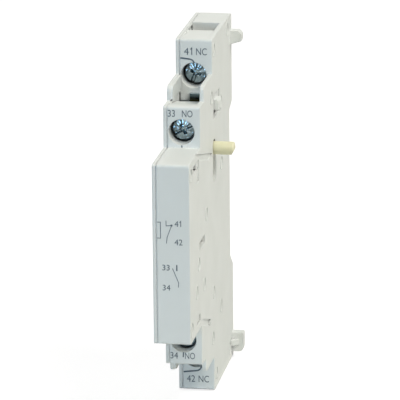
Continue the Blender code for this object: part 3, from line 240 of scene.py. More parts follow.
@dataclass(frozen=True)
class Finish:
    """What every finish has: a name, a colour, a roughness and how it wears at its edges.

    Attributes:
        name: the material's common name and surface.
        colour: sRGB hex of the surface.
        shade: sRGB hex that the surface drifts to in soft patches.
        worn: sRGB hex of a rubbed edge.
        roughness: middle value of the roughness.
        roughness_spread: how far the roughness wanders to either side.
        grain: size of the fine surface grain, in mm.
        grain_depth: depth of that grain, in mm.
        edge: width of the softened and rubbed edges, in mm.
        metallic: 1 for a metal, 0 for the rest.
        patch: size of the soft colour patches, in mm.
        specular: specular level of the surface.
        stretch: how much the patterns are squeezed along x, y and z.
        crevice: how far round a point walls must stand for the painted shade and painted light of recesses to
            go there, in mm, or 0 for none.
        dust: sRGB hex of the painted shade that darkens deep narrow hollows.
        fresh: sRGB hex of the painted light that lightens recesses where walls hide much of the sky.
    """

    name: str
    colour: str
    shade: str
    worn: str
    roughness: float
    roughness_spread: float = 0.06
    grain: float = 0.22
    grain_depth: float = 0.006
    edge: float = 0.12
    metallic: float = 0.0
    patch: float = 9.0
    specular: float = 0.5
    stretch: tuple[float, float, float] = (1.0, 1.0, 1.0)
    crevice: float = 0.0
    dust: str = "#3c4142"
    fresh: str = "#f6f8f8"

    def make(self) -> bpy.types.Material:
        """Builds the material: patchy colour, wandering roughness, fine grain, rubbed edges, and painted
        light and painted shade in recesses where the finish asks for them.

        Returns:
            The new material.
        """
        material = bpy.data.materials.new(self.name)
        material.use_nodes = True
        tree = material.node_tree
        shader = tree.nodes["Principled BSDF"]
        spot = add_node(tree, "ShaderNodeTexCoord")
        mapping = add_node(
            tree, "ShaderNodeMapping", {"Vector": spot.outputs["Object"], "Scale": self.stretch}
        )
        patches = add_node(
            tree, "ShaderNodeTexNoise",
            {"Vector": mapping.outputs[0], "Scale": per_metre(self.patch), "Detail": 3.0, "Roughness": 0.5},
        )
        grain = add_node(
            tree, "ShaderNodeTexNoise",
            {"Vector": mapping.outputs[0], "Scale": per_metre(self.grain), "Detail": 2.0, "Roughness": 0.6},
        )
        soft = add_node(tree, "ShaderNodeBevel", {"Radius": self.edge * MM}, samples=4)
        flat = add_node(tree, "ShaderNodeNewGeometry")
        facing = add_node(
            tree, "ShaderNodeVectorMath", {0: soft.outputs[0], 1: flat.outputs["Normal"]},
            operation="DOT_PRODUCT",
        )
        rubbed = add_node(
            tree, "ShaderNodeMapRange",
            {"Value": facing.outputs["Value"], "From Min": RUB_STARTS, "From Max": RUB_FULL,
             "To Min": 0.0, "To Max": RUB_SHARE},
        )
        drift = self.mix(tree, patches.outputs[0], linear(self.colour), linear(self.shade))
        colour = self.mix(tree, rubbed.outputs[0], drift, linear(self.worn))
        # Painted light and painted shade in recesses, set by how much of the sky the nearby walls hide
        if self.crevice > 0.0:
            wide = self.openness(tree, self.crevice)
            near = self.openness(tree, self.crevice * NEAR_SHARE)
            # Painted light: recesses are lightened towards a pale colour, standing in for light that reaches
            # them
            fresh = self.share(tree, wide, *PAINTED_LIGHT_SKY)
            colour = self.mix(tree, fresh, colour, linear(self.fresh))
            # Painted shade: deep narrow hollows are darkened towards a dark colour, standing in for shadow
            dust = add_node(
                tree, "ShaderNodeMath",
                {0: self.share(tree, wide, *PAINTED_SHADE_WIDE_SKY), 1: self.share(tree, near, *PAINTED_SHADE_NEAR_SKY)},
                operation="MULTIPLY",
            )
            colour = self.mix(tree, dust.outputs[0], colour, linear(self.dust))
        tree.links.new(colour, shader.inputs["Base Color"])
        wander = add_node(
            tree, "ShaderNodeMapRange",
            {"Value": patches.outputs[0], "From Min": 0.3, "From Max": 0.7,
             "To Min": self.roughness - self.roughness_spread,
             "To Max": self.roughness + self.roughness_spread},
        )
        tree.links.new(wander.outputs[0], shader.inputs["Roughness"])
        bump = add_node(
            tree, "ShaderNodeBump",
            {"Strength": 1.0, "Distance": self.grain_depth * MM, "Height": grain.outputs[0],
             "Normal": soft.outputs[0]},
        )
        tree.links.new(bump.outputs[0], shader.inputs["Normal"])
        shader.inputs["Metallic"].default_value = self.metallic
        shader.inputs["Specular IOR Level"].default_value = self.specular
        return material

    @staticmethod
    def openness(tree: bpy.types.NodeTree, reach: float) -> bpy.types.NodeSocket:
        """Returns the share of the sky that no wall hides within that many millimetres."""
        node = add_node(tree, "ShaderNodeAmbientOcclusion", {"Distance": reach * MM}, samples=6)
        return node.outputs["AO"]

    @staticmethod
    def share(
        tree: bpy.types.NodeTree, value: bpy.types.NodeSocket, full: float, none: float
    ) -> bpy.types.NodeSocket:
        """Returns 1 where the value is at most full, 0 where it is at least none, and a ramp between."""
        ramp = {"Value": value, "From Min": full, "From Max": none, "To Min": 1.0, "To Max": 0.0}
        return add_node(tree, "ShaderNodeMapRange", ramp).outputs[0]

    @staticmethod
    def mix(tree: bpy.types.NodeTree, factor, first, second) -> bpy.types.NodeSocket:
        """Mixes two colours, each a linear colour or a socket.

        Args:
            tree: the material's node tree.
            factor: socket that says how much of the second colour shows.
            first: colour at factor 0.
            second: colour at factor 1.

        Returns:
            The mixed colour's socket.
        """
        node = add_node(tree, "ShaderNodeMix", {0: factor, 6: first, 7: second}, data_type="RGBA")
        return node.outputs[2]


# Glass filled polyamide, moulded against a spark-eroded tool: light grey with a dull satin skin, with painted
# light and painted shade in its recesses
HOUSING_POLYAMIDE = Finish(
    "moulded polyamide light grey satin", "#d7dcda", "#d1d6d3", "#dfe4e3", 0.5, grain=0.35, grain_depth=0.004,
    edge=0.4, crevice=6.0,
)
# Natural polyamide of the sliding carrier: whiter and a little smoother, because nothing textures it
CARRIER_POLYAMIDE = Finish(
    "moulded polyamide natural white", "#dfe0da", "#d6d7cf", "#e6e7e2", 0.45, grain=0.3, grain_depth=0.003,
)
# Acetal pin, moulded: pale yellow, smooth and slightly waxy
PIN_ACETAL = Finish(
    "moulded acetal pale yellow", "#dddcc0", "#d6d5b0", "#e4e4cf", 0.38, grain=0.25, grain_depth=0.002,
)
# Zinc plated steel of screws and clamps: cool, bright, with fine drawn marks that blur the reflections
ZINC_PLATE = Finish(
    "zinc plated steel satin", "#a9b6bb", "#7d929a", "#dae3e6", 0.15, 0.06, 0.12, 0.002, 0.1, 1.0, 1.6,
)
# Rolled brass strip: warm yellow, soft rolling lines, duller where it has been handled
ROLLED_BRASS = Finish(
    "rolled brass strip", "#cfae6a", "#b8965a", "#dcc283", 0.34, 0.08, 0.15, 0.003, 0.1, 1.0, 3.0,
    stretch=(3.0, 1.0, 0.4),
)
# Silver contact alloy, pressed: pale and softly dull
CONTACT_SILVER = Finish(
    "pressed silver contact alloy", "#dddad2", "#cbc6bb", "#eae8e2", 0.3, 0.06, 0.1, 0.002, 0.08, 1.0, 1.5,
)
# Patented spring wire: grey drawn steel with lengthwise drawing marks
SPRING_WIRE = Finish(
    "drawn spring steel wire", "#a6a8aa", "#8f9294", "#bfc1c3", 0.3, 0.06, 0.1, 0.002, 0.05, 1.0, 1.5,
)
# Pad printing ink: dark blue grey, thin and matt, slightly uneven in its cover
PRINT_INK = Finish(
    "pad printed ink blue grey", "#4c5861", "#5a666e", "#5f6b73", 0.6, 0.05, 0.2, 0.001, 0.02, 0.0, 0.8,
)

FINISH_OF_SLOT = {
    "light_grey_plastic": HOUSING_POLYAMIDE,
    "white_plastic": CARRIER_POLYAMIDE,
    "yellow_plastic": PIN_ACETAL,
    "plated_steel": ZINC_PLATE,
    "brass": ROLLED_BRASS,
    "silver_alloy": CONTACT_SILVER,
    "spring_steel": SPRING_WIRE,
}


def solid_from_rings(
    name: str, rings: np.ndarray, smooth: float | None, loop: bool = False
) -> bpy.types.Object:
    """Makes a closed solid from rings of points: quads between neighbouring rings and a flat cap at each end.

    Args:
        name: the object's name.
        rings: points as an array of ring, point on the ring, and x, y, z.
        smooth: angle in degrees under which edges are shaded smooth, or None for flat shading.
        loop: True when the last ring joins the first, with no caps.

    Returns:
        The object, with its place in its mesh and its faces pointing outwards.
    """
    rows, columns = rings.shape[:2]
    row = np.arange(rows if loop else rows - 1)[:, None] * columns
    below = (row + columns) % (rows * columns)
    column = np.arange(columns)[None, :]
    after = (column + 1) % columns
    quads = np.stack([row + column, row + after, below + after, below + column], axis=-1).reshape(-1, 4)
    caps = []
    if not loop:
        caps = [np.arange(columns)[::-1].tolist(), ((rows - 1) * columns + np.arange(columns)).tolist()]
    mesh = bpy.data.meshes.new(name)
    mesh.from_pydata(rings.reshape(-1, 3).tolist(), [], quads.tolist() + caps)
    if signed_volume(rings, quads, caps) < 0:
        mesh.flip_normals()
    if smooth is not None:
        mesh.shade_smooth()
        mesh.set_sharp_from_angle(angle=math.radians(smooth))
    thing = bpy.data.objects.new(name, mesh)
    bpy.context.scene.collection.objects.link(thing)
    return thing


def signed_volume(rings: np.ndarray, quads: np.ndarray, caps: list[list[int]]) -> float:
    """Volume that the faces enclose: the sum of the tetrahedra from one point to every face's triangles.

    Args:
        rings: the solid's points.
        quads: four point numbers for each side face.
        caps: point numbers of the two end faces.

    Returns:
        The volume, negative when the faces point inwards.
    """
    points = rings.reshape(-1, 3) - rings.reshape(-1, 3).mean(axis=0)
    triangles = [quads[:, [0, 1, 2]], quads[:, [0, 2, 3]]]
    for cap in caps:
        fan = np.array(cap)
        triangles.append(np.stack([np.full(len(fan) - 2, fan[0]), fan[1:-1], fan[2:]], axis=-1))
    corners = points[np.concatenate(triangles)]
    return float(np.einsum("ij,ij->i", corners[:, 0], np.cross(corners[:, 1], corners[:, 2])).sum() / 6)


def smooth_step(values: np.ndarray, low: float, high: float) -> np.ndarray:
    """Returns 0 below low and 1 above high, with a soft cubic ramp between."""
    ramp = np.clip((values - low) / (high - low), 0.0, 1.0)
    return ramp * ramp * (3 - 2 * ramp)


@dataclass
class TerminalScrew:
    """Combination head terminal screw: domed head with a slot and a cross, and a rolled thread.

    Attributes:
        head_radius: radius of the head.
        head_height: height of the head.
        dome: how far the dome falls from the middle to the rim.
        rim_round: radius of the rounding at the rim.
        centre_rings: radii of the two rings that close the head's middle.
        top_rings: rings over the top of the head, from the second of those outwards.
        rim_rings: rings round the rounding, counting the one it starts from.
        side_start: depth at which the side of the head starts.
        side_rings: rings down the side of the head.
        side_end_gap: least distance of the rim's end from the underside.
        waves: number of low waves that the forming blow leaves.
        facet: half the height of those waves.
        wave_band: distances from the axis at which the waves start, are full and start to fade.
        slot_half: half the width of the slot.
        slot_depth: depth of the slot.
        cross_half: half the width of the cross.
        cross_reach: length of a wing of the cross.
        cross_core: share of that length where the cross is at its full depth.
        cross_depth: depth of the cross.
        lip: half the breadth of the soft edges of slot and cross.
        thread_radius: outer radius of the thread.
        thread_depth: depth of the thread.
        pitch: rise of one turn of the thread.
        turn_rings: rings for each turn of the thread.
        run_out: distances below the head at which the thread starts and is full.
        thread_end_gap: distance of the last turn from the tip.
        tip_length: length of the tip's cone.
        tip_cuts: how far the radius falls where the cone starts and where it ends.
        columns: points round the axis.
    """

    head_radius: float = 2.72 * MM
    head_height: float = 2.0 * MM
    dome: float = 0.35 * MM
    rim_round: float = 0.3 * MM
    centre_rings: tuple[float, float] = (0.02 * MM, 0.08 * MM)
    top_rings: int = 30
    rim_rings: int = 6
    side_start: float = 0.75 * MM
    side_rings: int = 5
    side_end_gap: float = 0.02 * MM
    waves: int = 8
    facet: float = 0.07 * MM
    wave_band: tuple[float, float, float] = (0.5 * MM, 1.3 * MM, 2.2 * MM)
    slot_half: float = 0.4 * MM
    slot_depth: float = 1.0 * MM
    cross_half: float = 0.36 * MM
    cross_reach: float = 1.55 * MM
    cross_core: float = 0.45
    cross_depth: float = 1.5 * MM
    lip: float = 0.12 * MM
    thread_radius: float = 1.75 * MM
    thread_depth: float = 0.3 * MM
    pitch: float = 0.6 * MM
    turn_rings: int = 6
    run_out: tuple[float, float] = (0.6 * MM, 1.4 * MM)
    thread_end_gap: float = 0.4 * MM
    tip_length: float = 0.15 * MM
    tip_cuts: tuple[float, float] = (0.4 * MM, 0.6 * MM)
    columns: int = 128

    def build(self, terminal: TerminalPlace) -> bpy.types.Object:
        """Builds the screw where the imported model's plain one is.

        The screw is a stack of rings, each with its radius and its depth under the head's top at every angle.

        Args:
            terminal: the terminal that the screw belongs to.

        Returns:
            The screw as one closed solid.
        """
        node = "screw_%d" % terminal.number
        low, high = (np.array(corner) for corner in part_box(node))
        centre = (low + high) / 2
        angles = np.linspace(0.0, 2 * math.pi, self.columns, endpoint=False)
        rows = self.head_rows(angles, math.radians(terminal.turn)) + self.shank_rows(angles, high[1] - low[1])
        radius = np.concatenate([row[0] + 0 * angles for row in rows])
        drop = np.concatenate([row[1] + 0 * angles for row in rows])
        rings = np.stack(
            [centre[0] + radius * np.cos(angles), low[1] + drop, centre[2] + radius * np.sin(angles)], axis=-1
        )
        screw = solid_from_rings("threaded_screw_%d" % terminal.number, rings, 35.0)
        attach(screw, node + "_body")
        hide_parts(node)
        return screw

    def head_rows(self, angles: np.ndarray, tilt: float) -> list[tuple[np.ndarray, np.ndarray]]:
        """Rings of the head: over its top, round its rim and down its side.

        Args:
            angles: angles of the points round the axis.
            tilt: angle of the slot.

        Returns:
            Radius and depth of each group of rings, as arrays of ring and angle.
        """
        middle, first = self.centre_rings
        outwards = np.linspace(first, self.head_radius - self.rim_round, self.top_rings)
        top = np.concatenate([[middle], outwards])
        turn = np.linspace(0.0, math.pi / 2, self.rim_rings)[1:]
        rim = self.head_radius - self.rim_round * (1 - np.sin(turn))
        rim_drop = self.rim_round * (1 - np.cos(turn))
        side = np.linspace(self.side_start, self.head_height, self.side_rings)
        edge = self.head_surface(np.array([[self.head_radius]]), angles[None, :], tilt)
        rim_end = np.minimum(edge + self.rim_round, self.head_height - self.side_end_gap)
        return [
            (top[:, None], self.head_surface(top[:, None], angles[None, :], tilt)),
            (rim[:, None], self.head_surface(rim[:, None], angles[None, :], tilt) + rim_drop[:, None]),
            (np.full((self.side_rings, 1), self.head_radius), np.maximum(side[:, None], rim_end)),
        ]

    def shank_rows(self, angles: np.ndarray, length: float) -> list[tuple[np.ndarray, np.ndarray]]:
        """Rings of the shank, whose radius follows the distance to the nearest turn, and of its tip.

        Args:
            angles: angles of the points round the axis.
            length: length of the whole screw.

        Returns:
            Radius and depth of each group of rings, as arrays of ring and angle.
        """
        count = int((length - self.head_height) / self.pitch * self.turn_rings)
        along = np.linspace(self.head_height, length - self.thread_end_gap, count)[:, None]
        phase = (along / self.pitch - angles[None, :] / (2 * math.pi)) % 1.0
        depth = np.abs(phase * 2 - 1)
        starts, full = (self.head_height + distance for distance in self.run_out)
        fade = smooth_step(along, starts, full)
        tip_start, tip_end = (self.thread_radius - cut for cut in self.tip_cuts)
        return [
            (self.thread_radius - self.thread_depth * depth * fade, along),
            (np.array([[tip_start], [tip_end]]), np.array([[length - self.tip_length], [length]])),
        ]

    def head_surface(self, radius: np.ndarray, angle: np.ndarray, tilt: float) -> np.ndarray:
        """Depth of the head's top surface under its highest point.

        The top is a shallow dome with low waves from the forming blow, less a slot, which is a soft step of
        the distance to a line, and a cross whose wings get shallower outwards.

        Args:
            radius: distance from the screw's axis.
            angle: angle round the axis.
            tilt: angle of the slot.

        Returns:
            Depth for each pair of radius and angle.
        """
        along = radius * np.cos(angle + tilt)
        across = radius * np.sin(angle + tilt)
        dome = self.dome * (radius / self.head_radius) ** 2
        starts, full, fades = self.wave_band
        blow = smooth_step(radius, starts, full) * (1 - smooth_step(radius, fades, self.head_radius))
        dome = dome + self.facet * blow * (1 + np.cos(self.waves * (angle + tilt)))
        slot = self.slot_depth * self.groove(across, self.slot_half)
        wing = np.maximum(self.groove(along, self.cross_half), self.groove(across, self.cross_half))
        reach = 1 - smooth_step(radius, self.cross_reach * self.cross_core, self.cross_reach)
        return dome + np.maximum(slot, self.cross_depth * wing * reach)

    def groove(self, distance: np.ndarray, half: float) -> np.ndarray:
        """Returns 1 in a groove of that half width and 0 beside it, softened at its lips."""
        return 1 - smooth_step(np.abs(distance), half - self.lip, half + self.lip)


# Depth and height of each ejector mark on the mating side, in millimetres
EJECTOR_MARKS = (
    (37.9, 41.8), (59.4, 42.2), (33.8, 30.7), (48.1, 26.2), (48.3, 10.6), (2.2, 19.3), (24.9, 3.6),
    (13.1, -5.7), (21.0, -13.1), (9.8, -12.0), (35.3, -19.3), (2.3, -19.1), (46.6, -26.2), (33.7, -30.8),
    (60.2, -41.7), (38.5, -41.5),
)


@dataclass
class EjectorLips:
    """Raised lips that the ejector pins of the moulding tool left round their marks on the mating side.

    Attributes:
        form: the block's sizes.
        radius: radius of the marks.
        breadth: width of a lip.
        rise: how far a lip stands out.
        gap: distance of a lip from the edge of its mark.
        columns: points round a mark.
        bead_points: points round a lip's section.
    """

    form: BlockForm
    radius: float = 1.5 * MM
    breadth: float = 0.3 * MM
    rise: float = 0.12 * MM
    gap: float = 0.02 * MM
    columns: int = 32
    bead_points: int = 10

    def build(self) -> list[bpy.types.Object]:
        """Builds the lips: for each mark a low bead carried round a circle, with its middle on the wall.

        Returns:
            The lips, each a closed ring.
        """
        turn = np.linspace(0.0, 2 * math.pi, self.columns, endpoint=False)[:, None]
        bead = np.linspace(0.0, 2 * math.pi, self.bead_points, endpoint=False)[None, :]
        away = self.radius + self.breadth / 2 * (1 + np.cos(bead)) + self.gap
        out = self.form.width + self.rise * np.sin(bead) + 0 * turn
        lips = []
        for index, (depth, height) in enumerate(EJECTOR_MARKS, start=1):
            places = (out, depth * MM + away * np.cos(turn), height * MM + away * np.sin(turn))
            rings = np.stack(places, axis=-1) + np.array(self.form.place(0.0, 0.0, 0.0))
            lip = solid_from_rings("ejector_lip_%d" % index, rings, 60.0, loop=True)
            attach(lip, "housing")
            lips.append(lip)
        return lips


@dataclass
class SeamTongue:
    """Tongue of the housing's rim that laps the gap to the cover, all round the block.

    Attributes:
        form: the block's sizes.
        inset: how far under the outer surface it lies.
        thickness: how far it reaches inwards from there.
        lap: how far it reaches past the gap on either side.
    """

    form: BlockForm
    inset: float = 0.18 * MM
    thickness: float = 0.5 * MM
    lap: float = 0.02 * MM

    def build(self) -> bpy.types.Object:
        """Builds the tongue: the side outline drawn in twice, and carried across the gap as one closed frame.

        Returns:
            The tongue as one closed frame.
        """
        outer = self.form.outline(self.inset)
        inner = self.form.outline(self.inset + self.thickness)
        low = self.form.cover - self.lap
        high = self.form.cover + self.form.seam + self.lap
        rows = []
        for flat, across in ((outer, low), (outer, high), (inner, high), (inner, low)):
            rows.append(np.stack([np.full(len(flat), across), flat[:, 0], flat[:, 1]], axis=-1))
        rings = np.stack(rows, axis=1) + np.array(self.form.place(0.0, 0.0, 0.0))
        tongue = solid_from_rings("seam_tongue", rings, None, loop=True)
        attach(tongue, "housing")
        return tongue


@dataclass
class CoilSpring:
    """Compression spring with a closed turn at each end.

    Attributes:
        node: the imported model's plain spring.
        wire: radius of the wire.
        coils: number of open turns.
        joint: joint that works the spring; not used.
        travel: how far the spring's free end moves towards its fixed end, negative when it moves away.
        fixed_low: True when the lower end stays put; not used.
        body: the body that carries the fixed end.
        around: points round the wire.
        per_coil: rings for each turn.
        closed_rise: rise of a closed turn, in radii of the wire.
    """

    node: str
    wire: float
    coils: int
    joint: str
    travel: float
    fixed_low: bool
    body: str
    around: int = 10
    per_coil: int = 28
    closed_rise: float = 2.1

    def build(self) -> bpy.types.Object:
        """Builds the spring.

        The wire's middle line is a helix whose rise is slow over the first and the last turn and even
        between, and the wire is a circle carried along it, square to the line. A spring whose travel is
        positive gets a mesh of its own.

        Returns:
            The spring as one closed tube.
        """
        low, high = (np.array(corner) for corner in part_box(self.node))
        centre = (low + high) / 2
        radius = (high[0] - low[0]) / 2 - self.wire
        turns = np.linspace(0.0, self.coils + 2.0, (self.coils + 2) * self.per_coil + 1)
        closed = np.minimum(turns, 1.0) + np.maximum(turns - self.coils - 1.0, 0.0)
        share = np.clip(turns - 1.0, 0.0, self.coils) / self.coils
        step = self.closed_rise * self.wire
        rise = (high[2] - low[2]) - 2 * self.wire - 2 * step
        height = low[2] + self.wire + closed * step + share * rise
        angle = 2 * math.pi * turns
        line = np.stack([radius * np.cos(angle), radius * np.sin(angle), height], axis=-1)
        tangent = np.gradient(line, axis=0)
        tangent /= np.linalg.norm(tangent, axis=1, keepdims=True)
        outward = np.stack([np.cos(angle), np.sin(angle), 0 * angle], axis=-1)
        side = np.cross(tangent, outward)
        wind = np.linspace(0.0, 2 * math.pi, self.around, endpoint=False)
        rings = (
            line[:, None, :]
            + self.wire * np.cos(wind)[None, :, None] * outward[:, None, :]
            + self.wire * np.sin(wind)[None, :, None] * side[:, None, :]
        )
        rings[..., :2] += centre[:2]
        spring = solid_from_rings(self.node.replace("spring", "coil"), rings, 60.0)
        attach(spring, self.body)
        if self.travel > 0.0:
            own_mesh(spring)
        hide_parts(self.node)
        return spring


# Circuit drawing on the middle face, in millimetres: each number's name, words and box, then each line's
# name, width and points
CIRCUIT_NUMBERS = (
    ("circuit_41", "41", (5.36, 6.95, 7.15, 8.55)),
    ("circuit_42", "42", (5.31, 7.25, 2.6, 4.05)),
    ("circuit_33", "33", (2.29, 4.08, -3.75, -2.35)),
    ("circuit_34", "34", (2.33, 4.17, -8.75, -7.35)),
)
CIRCUIT_LINES = (
    ("circuit_link", 0.16, ((1.12, 8.17), (1.96, 8.17), (1.96, 4.23), (1.12, 4.23))),
    ("circuit_break_root", 0.16, ((3.3, 8.6), (3.34, 7.3), (4.5, 7.42))),
    ("circuit_break_spot", 0.42, ((4.42, 7.44), (4.86, 7.44))),
    ("circuit_break_arm", 0.16, ((4.63, 7.4), (3.51, 4.35), (3.37, 2.95))),
    ("circuit_make_arm", 0.16, ((4.76, -3.2), (6.22, -6.76), (6.14, -7.9))),
    ("circuit_make_root", 0.3, ((5.8, -2.3), (5.8, -3.8))),
)
# Figure one with its flag, as shares of its height: room for the figure before it, how far from the right
# edge and how far below the top the flag starts, the stem's distance from that edge and the line's width
ONE_BEFORE = 0.68
ONE_FLAG = 0.26
ONE_FLAG_DROP = 0.22
ONE_STEM = 0.06
ONE_WIDTH = 0.13


@dataclass
class PadPrint:
    """Printing on the front faces: terminal numbers and the circuit drawing.

    Attributes:
        form: the block's sizes.
        thickness: how far the ink stands out of its face.
        sunk: how far it reaches into the face, as a share of that.
        mitre_limit: least cosine of half a bend, which keeps sharp mitres short.
        curve_steps: points along each curve of a letter.
    """

    form: BlockForm
    thickness: float = 0.03 * MM
    sunk: float = 0.5
    mitre_limit: float = 0.3
    curve_steps: int = 4

    def label(
        self, name: str, words: str, space: tuple[float, float, float, float], face: float
    ) -> bpy.types.Object:
        """Prints words so that they fill a box on a front face.

        Args:
            name: the piece's name.
            words: what is printed.
            space: left, right, bottom and top of the print, in millimetres.
            face: depth of the face.

        Returns:
            The printed words as one mesh.
        """
        left, right, bottom, top = (edge * MM for edge in space)
        curve = bpy.data.curves.new(name, "FONT")
        curve.body = words
        curve.resolution_u = self.curve_steps
        curve.extrude = 0.5  # any thickness will do, because the words are fitted to their box below
        holder = bpy.data.objects.new(name + "_curve", curve)
        bpy.context.scene.collection.objects.link(holder)
        bpy.context.view_layer.update()
        graph = bpy.context.evaluated_depsgraph_get()
        mesh = bpy.data.meshes.new_from_object(holder.evaluated_get(graph))
        bpy.data.objects.remove(holder, do_unlink=True)
        points = np.empty(len(mesh.vertices) * 3)
        mesh.vertices.foreach_get("co", points)
        points = points.reshape(-1, 3)
        low = points.min(axis=0)
        size = points.max(axis=0) - low
        fit = (points - low) / size
        corner = self.form.place(left, face - self.thickness, bottom)
        reach = self.thickness * (1 + self.sunk)
        spread = np.array([right - left, reach, top - bottom])
        places = np.array(corner) + fit[:, [0, 2, 1]] * spread * np.array([1.0, -1.0, 1.0])
        places[:, 1] += reach
        mesh.vertices.foreach_set("co", places.reshape(-1))
        mesh.update()
        piece = bpy.data.objects.new(name, mesh)
        bpy.context.scene.collection.objects.link(piece)
        self.dress(piece)
        return piece

    def line(
        self, name: str, points: Sequence[tuple[float, float]], face: float, width: float
    ) -> bpy.types.Object:
        """Prints a line through points on a front face.

        The line's two edges are the path moved sideways by half its width, mitred at each bend, and the ink
        is the flat slab between them.

        Args:
            name: the piece's name.
            points: places across the block and up it, in millimetres.
            face: depth of the face.
            width: width of the line, in millimetres.

        Returns:
            The line as one closed slab.
        """
        half = width * MM / 2
        path = np.array(points) * MM
        runs = np.diff(path, axis=0)
        runs /= np.linalg.norm(runs, axis=1, keepdims=True)
        normals = np.stack([-runs[:, 1], runs[:, 0]], axis=-1)
        before = np.concatenate([normals[:1], normals])
        after = np.concatenate([normals, normals[-1:]])
        mitre = before + after
        mitre /= np.linalg.norm(mitre, axis=1, keepdims=True)
        mitre *= half / np.maximum(np.sum(mitre * after, axis=1, keepdims=True), self.mitre_limit)
        left = path + mitre
        right = path - mitre
        front = face - self.thickness
        back = face + self.thickness * self.sunk
        rows = []
        for flat, depth in ((left, front), (right, front), (right, back), (left, back)):
            rows.append(np.stack([flat[:, 0], np.full(len(flat), depth), flat[:, 1]], axis=-1))
        rings = np.stack(rows, axis=1) + np.array(self.form.place(0.0, 0.0, 0.0))
        piece = solid_from_rings(name, rings, None)
        self.dress(piece)
        return piece

    @staticmethod
    def dress(piece: bpy.types.Object) -> None:
        """Gives the printed piece its ink and lets it ride on the housing."""
        piece.data.materials.clear()
        piece.data.materials.append(ink())
        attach(piece, "housing")
        log.info("printed %s", piece.name)

    def number(self, name: str, words: str, space: tuple[float, float, float, float], face: float) -> None:
        """Prints a two-figure number, with a flag on a figure one at its end.

        Args:
            name: the piece's name.
            words: the number.
            space: left, right, bottom and top of the print, in millimetres.
            face: depth of the face.
        """
        if not words.endswith("1"):
            self.label(name, words, space, face)
            return
        left, right, bottom, top = space
        tall = top - bottom
        self.label(name, words[:-1], (left, left + tall * ONE_BEFORE, bottom, top), face)
        stem = right - tall * ONE_STEM
        one = [(right - tall * ONE_FLAG, top - tall * ONE_FLAG_DROP), (stem, top), (stem, bottom)]
        self.line(name + "_one", one, face, tall * ONE_WIDTH)

    def build(self) -> None:
        """Prints the terminal numbers beside the screws and the circuit drawing on the middle face."""
        for terminal in TERMINALS:
            face = terminal.face(self.form)
            name = "print_%d" % terminal.number
            self.number(name, str(terminal.number), terminal.number_box, face)
            self.label(name + "_kind", terminal.contact.value, terminal.kind_box, face)
            self.line(name + "_lead", terminal.lead, face, terminal.lead_width)
        for name, words, space in CIRCUIT_NUMBERS:
            self.number(name, words, space, 0.0)
        for name, width, points in CIRCUIT_LINES:
            self.line(name, points, 0.0, width)


def ink() -> bpy.types.Material:
    """Returns the ink's material, made once."""
    found = bpy.data.materials.get(PRINT_INK.name)
    return found or PRINT_INK.make()


@dataclass(frozen=True)
class Lamp:
    """One soft square lamp that points at the block.

    Attributes:
        name: the lamp's name.
        place: where it hangs.
        size: its edge length.
        power: its power in watts.
        colour: sRGB hex of its light.
    """

    name: str
    place: tuple[float, float, float]
    size: float
    power: float
    colour: str

    def hang(self) -> None:
        """Hangs the lamp."""
        data = bpy.data.lights.new(self.name, "AREA")
        data.size = self.size
        data.energy = self.power
        data.color = linear(self.colour)[:3]
        lamp = bpy.data.objects.new(self.name, data)
        bpy.context.scene.collection.objects.link(lamp)
        lamp.location = self.place
        lamp.rotation_euler = Vector(self.place).to_track_quat("Z", "Y").to_euler()


LAMPS = (
    Lamp("key lamp", (0.56, -0.26, 0.8), 0.5, 8.1, "#fffaf0"),
    Lamp("top lamp", (-0.1, -0.6, 0.7), 0.4, 1.2, "#fffaf0"),
    Lamp("fill lamp", (-0.25, -1.0, 0.05), 0.25, 2.2, "#9cd0fa"),
    Lamp("side lamp", (-0.9, 0.5, 0.5), 0.5, 2.6, "#fffdf8"),
)
WHITE = (1.0, 1.0, 1.0, 1.0)
# What the camera sees of a board: the grey that takes the shadows, and the even light added to it
BOARD_GREY = "#9a9a9a"
BOARD_LIFT = 0.82


